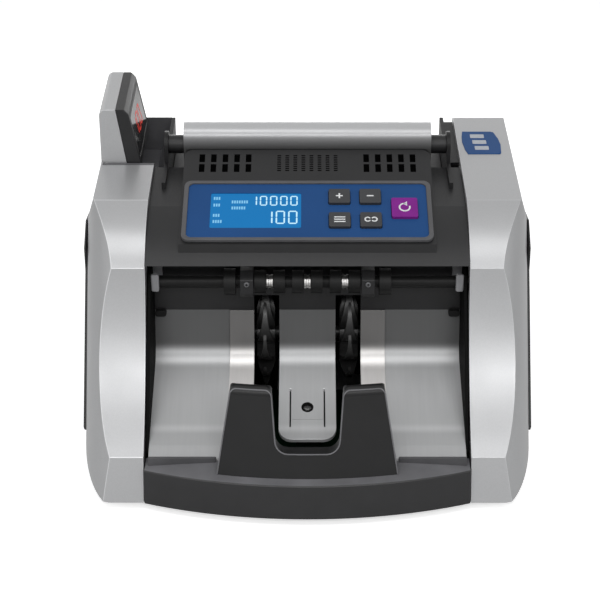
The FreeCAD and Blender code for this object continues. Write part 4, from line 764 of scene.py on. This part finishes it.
def rod(mesh, points):
    """A thin round rod along points in a nearly upright plane."""
    turns = [2 * math.pi * i / ROD_SIDES for i in range(ROD_SIDES)]
    rings = []
    for i, point in enumerate(points):
        run = (points[min(i + 1, len(points) - 1)] - points[max(i - 1, 0)]).normalized()
        across = run.cross(Vector((0, 1, 0))).normalized()
        out = across.cross(run)
        rings.append([point + ROD_RADIUS * (math.cos(turn) * across + math.sin(turn) * out) for turn in turns])
    stack_rings(mesh, rings)


def horn_face(x, z):
    """A point on the front face of the horns."""
    if z <= HORN_HIGH:
        lean = (HORN_LOW_RADIUS - HORN_HIGH_RADIUS) / (HORN_HIGH - HORN_LOW)
        radius = HORN_LOW_RADIUS - lean * (z - HORN_LOW)
    else:
        rounding = math.sqrt(HORN_ROUNDING ** 2 - (z - HORN_HIGH) ** 2)
        radius = HORN_HIGH_RADIUS - HORN_ROUNDING + rounding
    return Vector((x, BOW_CENTRE - math.sqrt(radius ** 2 - x ** 2), z))


def add_horn_highlight():
    """Painted highlight along the front edge of the U-shaped guide: a thin pale rod on the edge."""
    line = HORN_HALF + [HORN_MIDDLE] + [(-x, z) for x, z in reversed(HORN_HALF)]
    mesh = bmesh.new()
    rod(mesh, [horn_face(x, z) for x, z in line])
    add_piece("horn_highlight_rod", mesh, Matrix(), HORN_HIGHLIGHT)


# Exit shaft, vents and side trim

EXIT_SHAFT = Vector((0, -24, 124)) * MM
# Grooved sleeve: radius, and distance along the shaft from its middle
SLEEVE = [(4.02, -2.2), (4.6, -2.2), (4.75, -1.9), (4.75, -0.9), (4.3, -0.6), (4.3, 0.6), (4.75, 0.9),
          (4.75, 1.9), (4.6, 2.2), (4.02, 2.2)]
SLEEVES_AT = (-24, 0, 24)


def add_sleeves():
    """Grooved steel sleeves on the exit shaft, between the rollers."""
    mesh = bmesh.new()
    for x in SLEEVES_AT:
        lathe(mesh, 0, 0, [(radius, x + along) for radius, along in SLEEVE])
    place = Matrix.Translation(EXIT_SHAFT) @ Matrix.Rotation(math.radians(90), 4, "Y")
    add_piece("shaft_sleeves", mesh, place, FINISHES["bright_steel"], "exit_rollers")


VENT_MIDDLE = 17
VENT_FIELD = 54


def add_shade_sheets(mesh, x, columns, rows, pitch, size, high):
    """Black sheets of painted shade in a field of openings of the vent face."""
    for column in range(columns):
        for row in range(rows):
            across = x + pitch[0] * (column - (columns - 1) / 2)
            up = VENT_MIDDLE + pitch[1] * (row - (rows - 1) / 2)
            slab(mesh, rectangle(across, up, *size), low=-2.6, high=high)


def add_vent_shade():
    """Sheets of painted shade in the two fields of vent slots and in the speaker grille."""
    mesh = bmesh.new()
    for side in (-1, 1):
        add_shade_sheets(mesh, VENT_FIELD * side, columns=5, rows=2, pitch=(7.65, 9.1), size=(3.66, 7.36), high=-0.7)
    add_shade_sheets(mesh, 0, columns=8, rows=8, pitch=(5.3, 1.95), size=(2.46, 1.06), high=-0.35)
    add_piece("vent_shade_sheets", mesh, VENT, VENT_SHADE)


LIP = [(-46, 31), (-43.5, 28), (4, 28), (4, 128), (2, 124)]


def add_trim_lips():
    """Dark flank that carries each side trim forward along the lean of its panel."""
    for side, name in ((1, "right_trim_lip"), (-1, "left_trim_lip")):
        mesh = bmesh.new()
        slab(mesh, [(side * y, z) for y, z in LIP], low=143.0, high=145.4, edge=0.5)
        add_piece(name, mesh, flank(side), FINISHES["charcoal_plastic"])


# Stage: pale floor, soft lamps and a white background, in metres

FLOOR_HALF = 4
FLOOR_GREY = 0.86
FLOOR_LIFT = 0.62
WORLD_DIFFUSE = 0.36
LAMP_AIM = Vector((0, 0, 0.1))
# Name, place, size and power in watts
LAMPS = [
    ("key", (-0.1, -0.62, 1.25), (1.5, 0.45), 5.5),
    ("front", (0, -1.35, 0.9), (1.7, 0.3), 8),
    ("left", (-1.3, -0.5, 0.6), (0.5, 0.9), 1.7),
    ("right", (1.3, -0.5, 0.6), (0.5, 0.9), 1.7),
    ("rear", (0, 1.4, 0.45), (1.2, 0.4), 5),
]


def rays_seen(tree, kinds):
    """One for the kinds of ray that show the backdrop, nought for the rest."""
    path = tree.nodes.new("ShaderNodeLightPath")
    total = path.outputs[kinds[0]]
    for kind in kinds[1:]:
        most = tree.nodes.new("ShaderNodeMath")
        most.operation = "MAXIMUM"
        tree.links.new(total, most.inputs[0])
        tree.links.new(path.outputs[kind], most.inputs[1])
        total = most.outputs[0]
    return total


def add_stage():
    """A floor that takes the shadow, and is lifted towards white for the camera."""
    mesh = bpy.data.meshes.new("floor")
    corners = rectangle(0, 0, 2 * FLOOR_HALF, 2 * FLOOR_HALF)
    mesh.from_pydata([(x, y, 0) for x, y in corners], [], [(0, 1, 2, 3)])
    floor = bpy.data.objects.new("floor", mesh)
    bpy.context.scene.collection.objects.link(floor)
    made = Finish("floor", (FLOOR_GREY, FLOOR_GREY, FLOOR_GREY), roughness=0.9)
    made.shader.inputs["Emission Color"].default_value = (1, 1, 1, 1)
    seen = rays_seen(made.tree, ["Is Camera Ray"])
    made.link(made.spread(seen, 0, 1, 0, FLOOR_LIFT), made.shader.inputs["Emission Strength"])
    mesh.materials.append(made.material)


def add_lamp(name, place, size, power):
    data = bpy.data.lights.new(name, "AREA")
    data.shape = "RECTANGLE"
    data.size, data.size_y = size
    data.energy = power
    lamp = bpy.data.objects.new(name, data)
    lamp.location = place
    lamp.rotation_euler = (LAMP_AIM - Vector(place)).to_track_quat("-Z", "Y").to_euler()
    bpy.context.scene.collection.objects.link(lamp)


def add_light():
    """A white world, dimmer as a light than as a backdrop, and the lamps."""
    world = bpy.data.worlds.new("world")
    world.use_nodes = True
    tree = world.node_tree
    background = tree.nodes["Background"]
    background.inputs["Color"].default_value = (1, 1, 1, 1)
    strength = tree.nodes.new("ShaderNodeMapRange")
    strength.inputs["To Min"].default_value = WORLD_DIFFUSE
    strength.inputs["To Max"].default_value = 1.0
    seen = rays_seen(tree, ["Is Camera Ray", "Is Glossy Ray", "Is Transmission Ray"])
    tree.links.new(seen, strength.inputs["Value"])
    tree.links.new(strength.outputs["Result"], background.inputs["Strength"])
    bpy.context.scene.world = world
    for lamp in LAMPS:
        add_lamp(*lamp)


add_camera()
add_stage()
add_light()
dress_nodes()
add_screen_marks()
add_legends()
add_badge()
add_all_screws()
add_eye()
add_stops()
add_sills()
add_horn_highlight()
add_shaft_caps()
add_sleeves()
add_vent_shade()
add_trim_lips()

bpy.context.scene.view_settings.view_transform = "Standard"
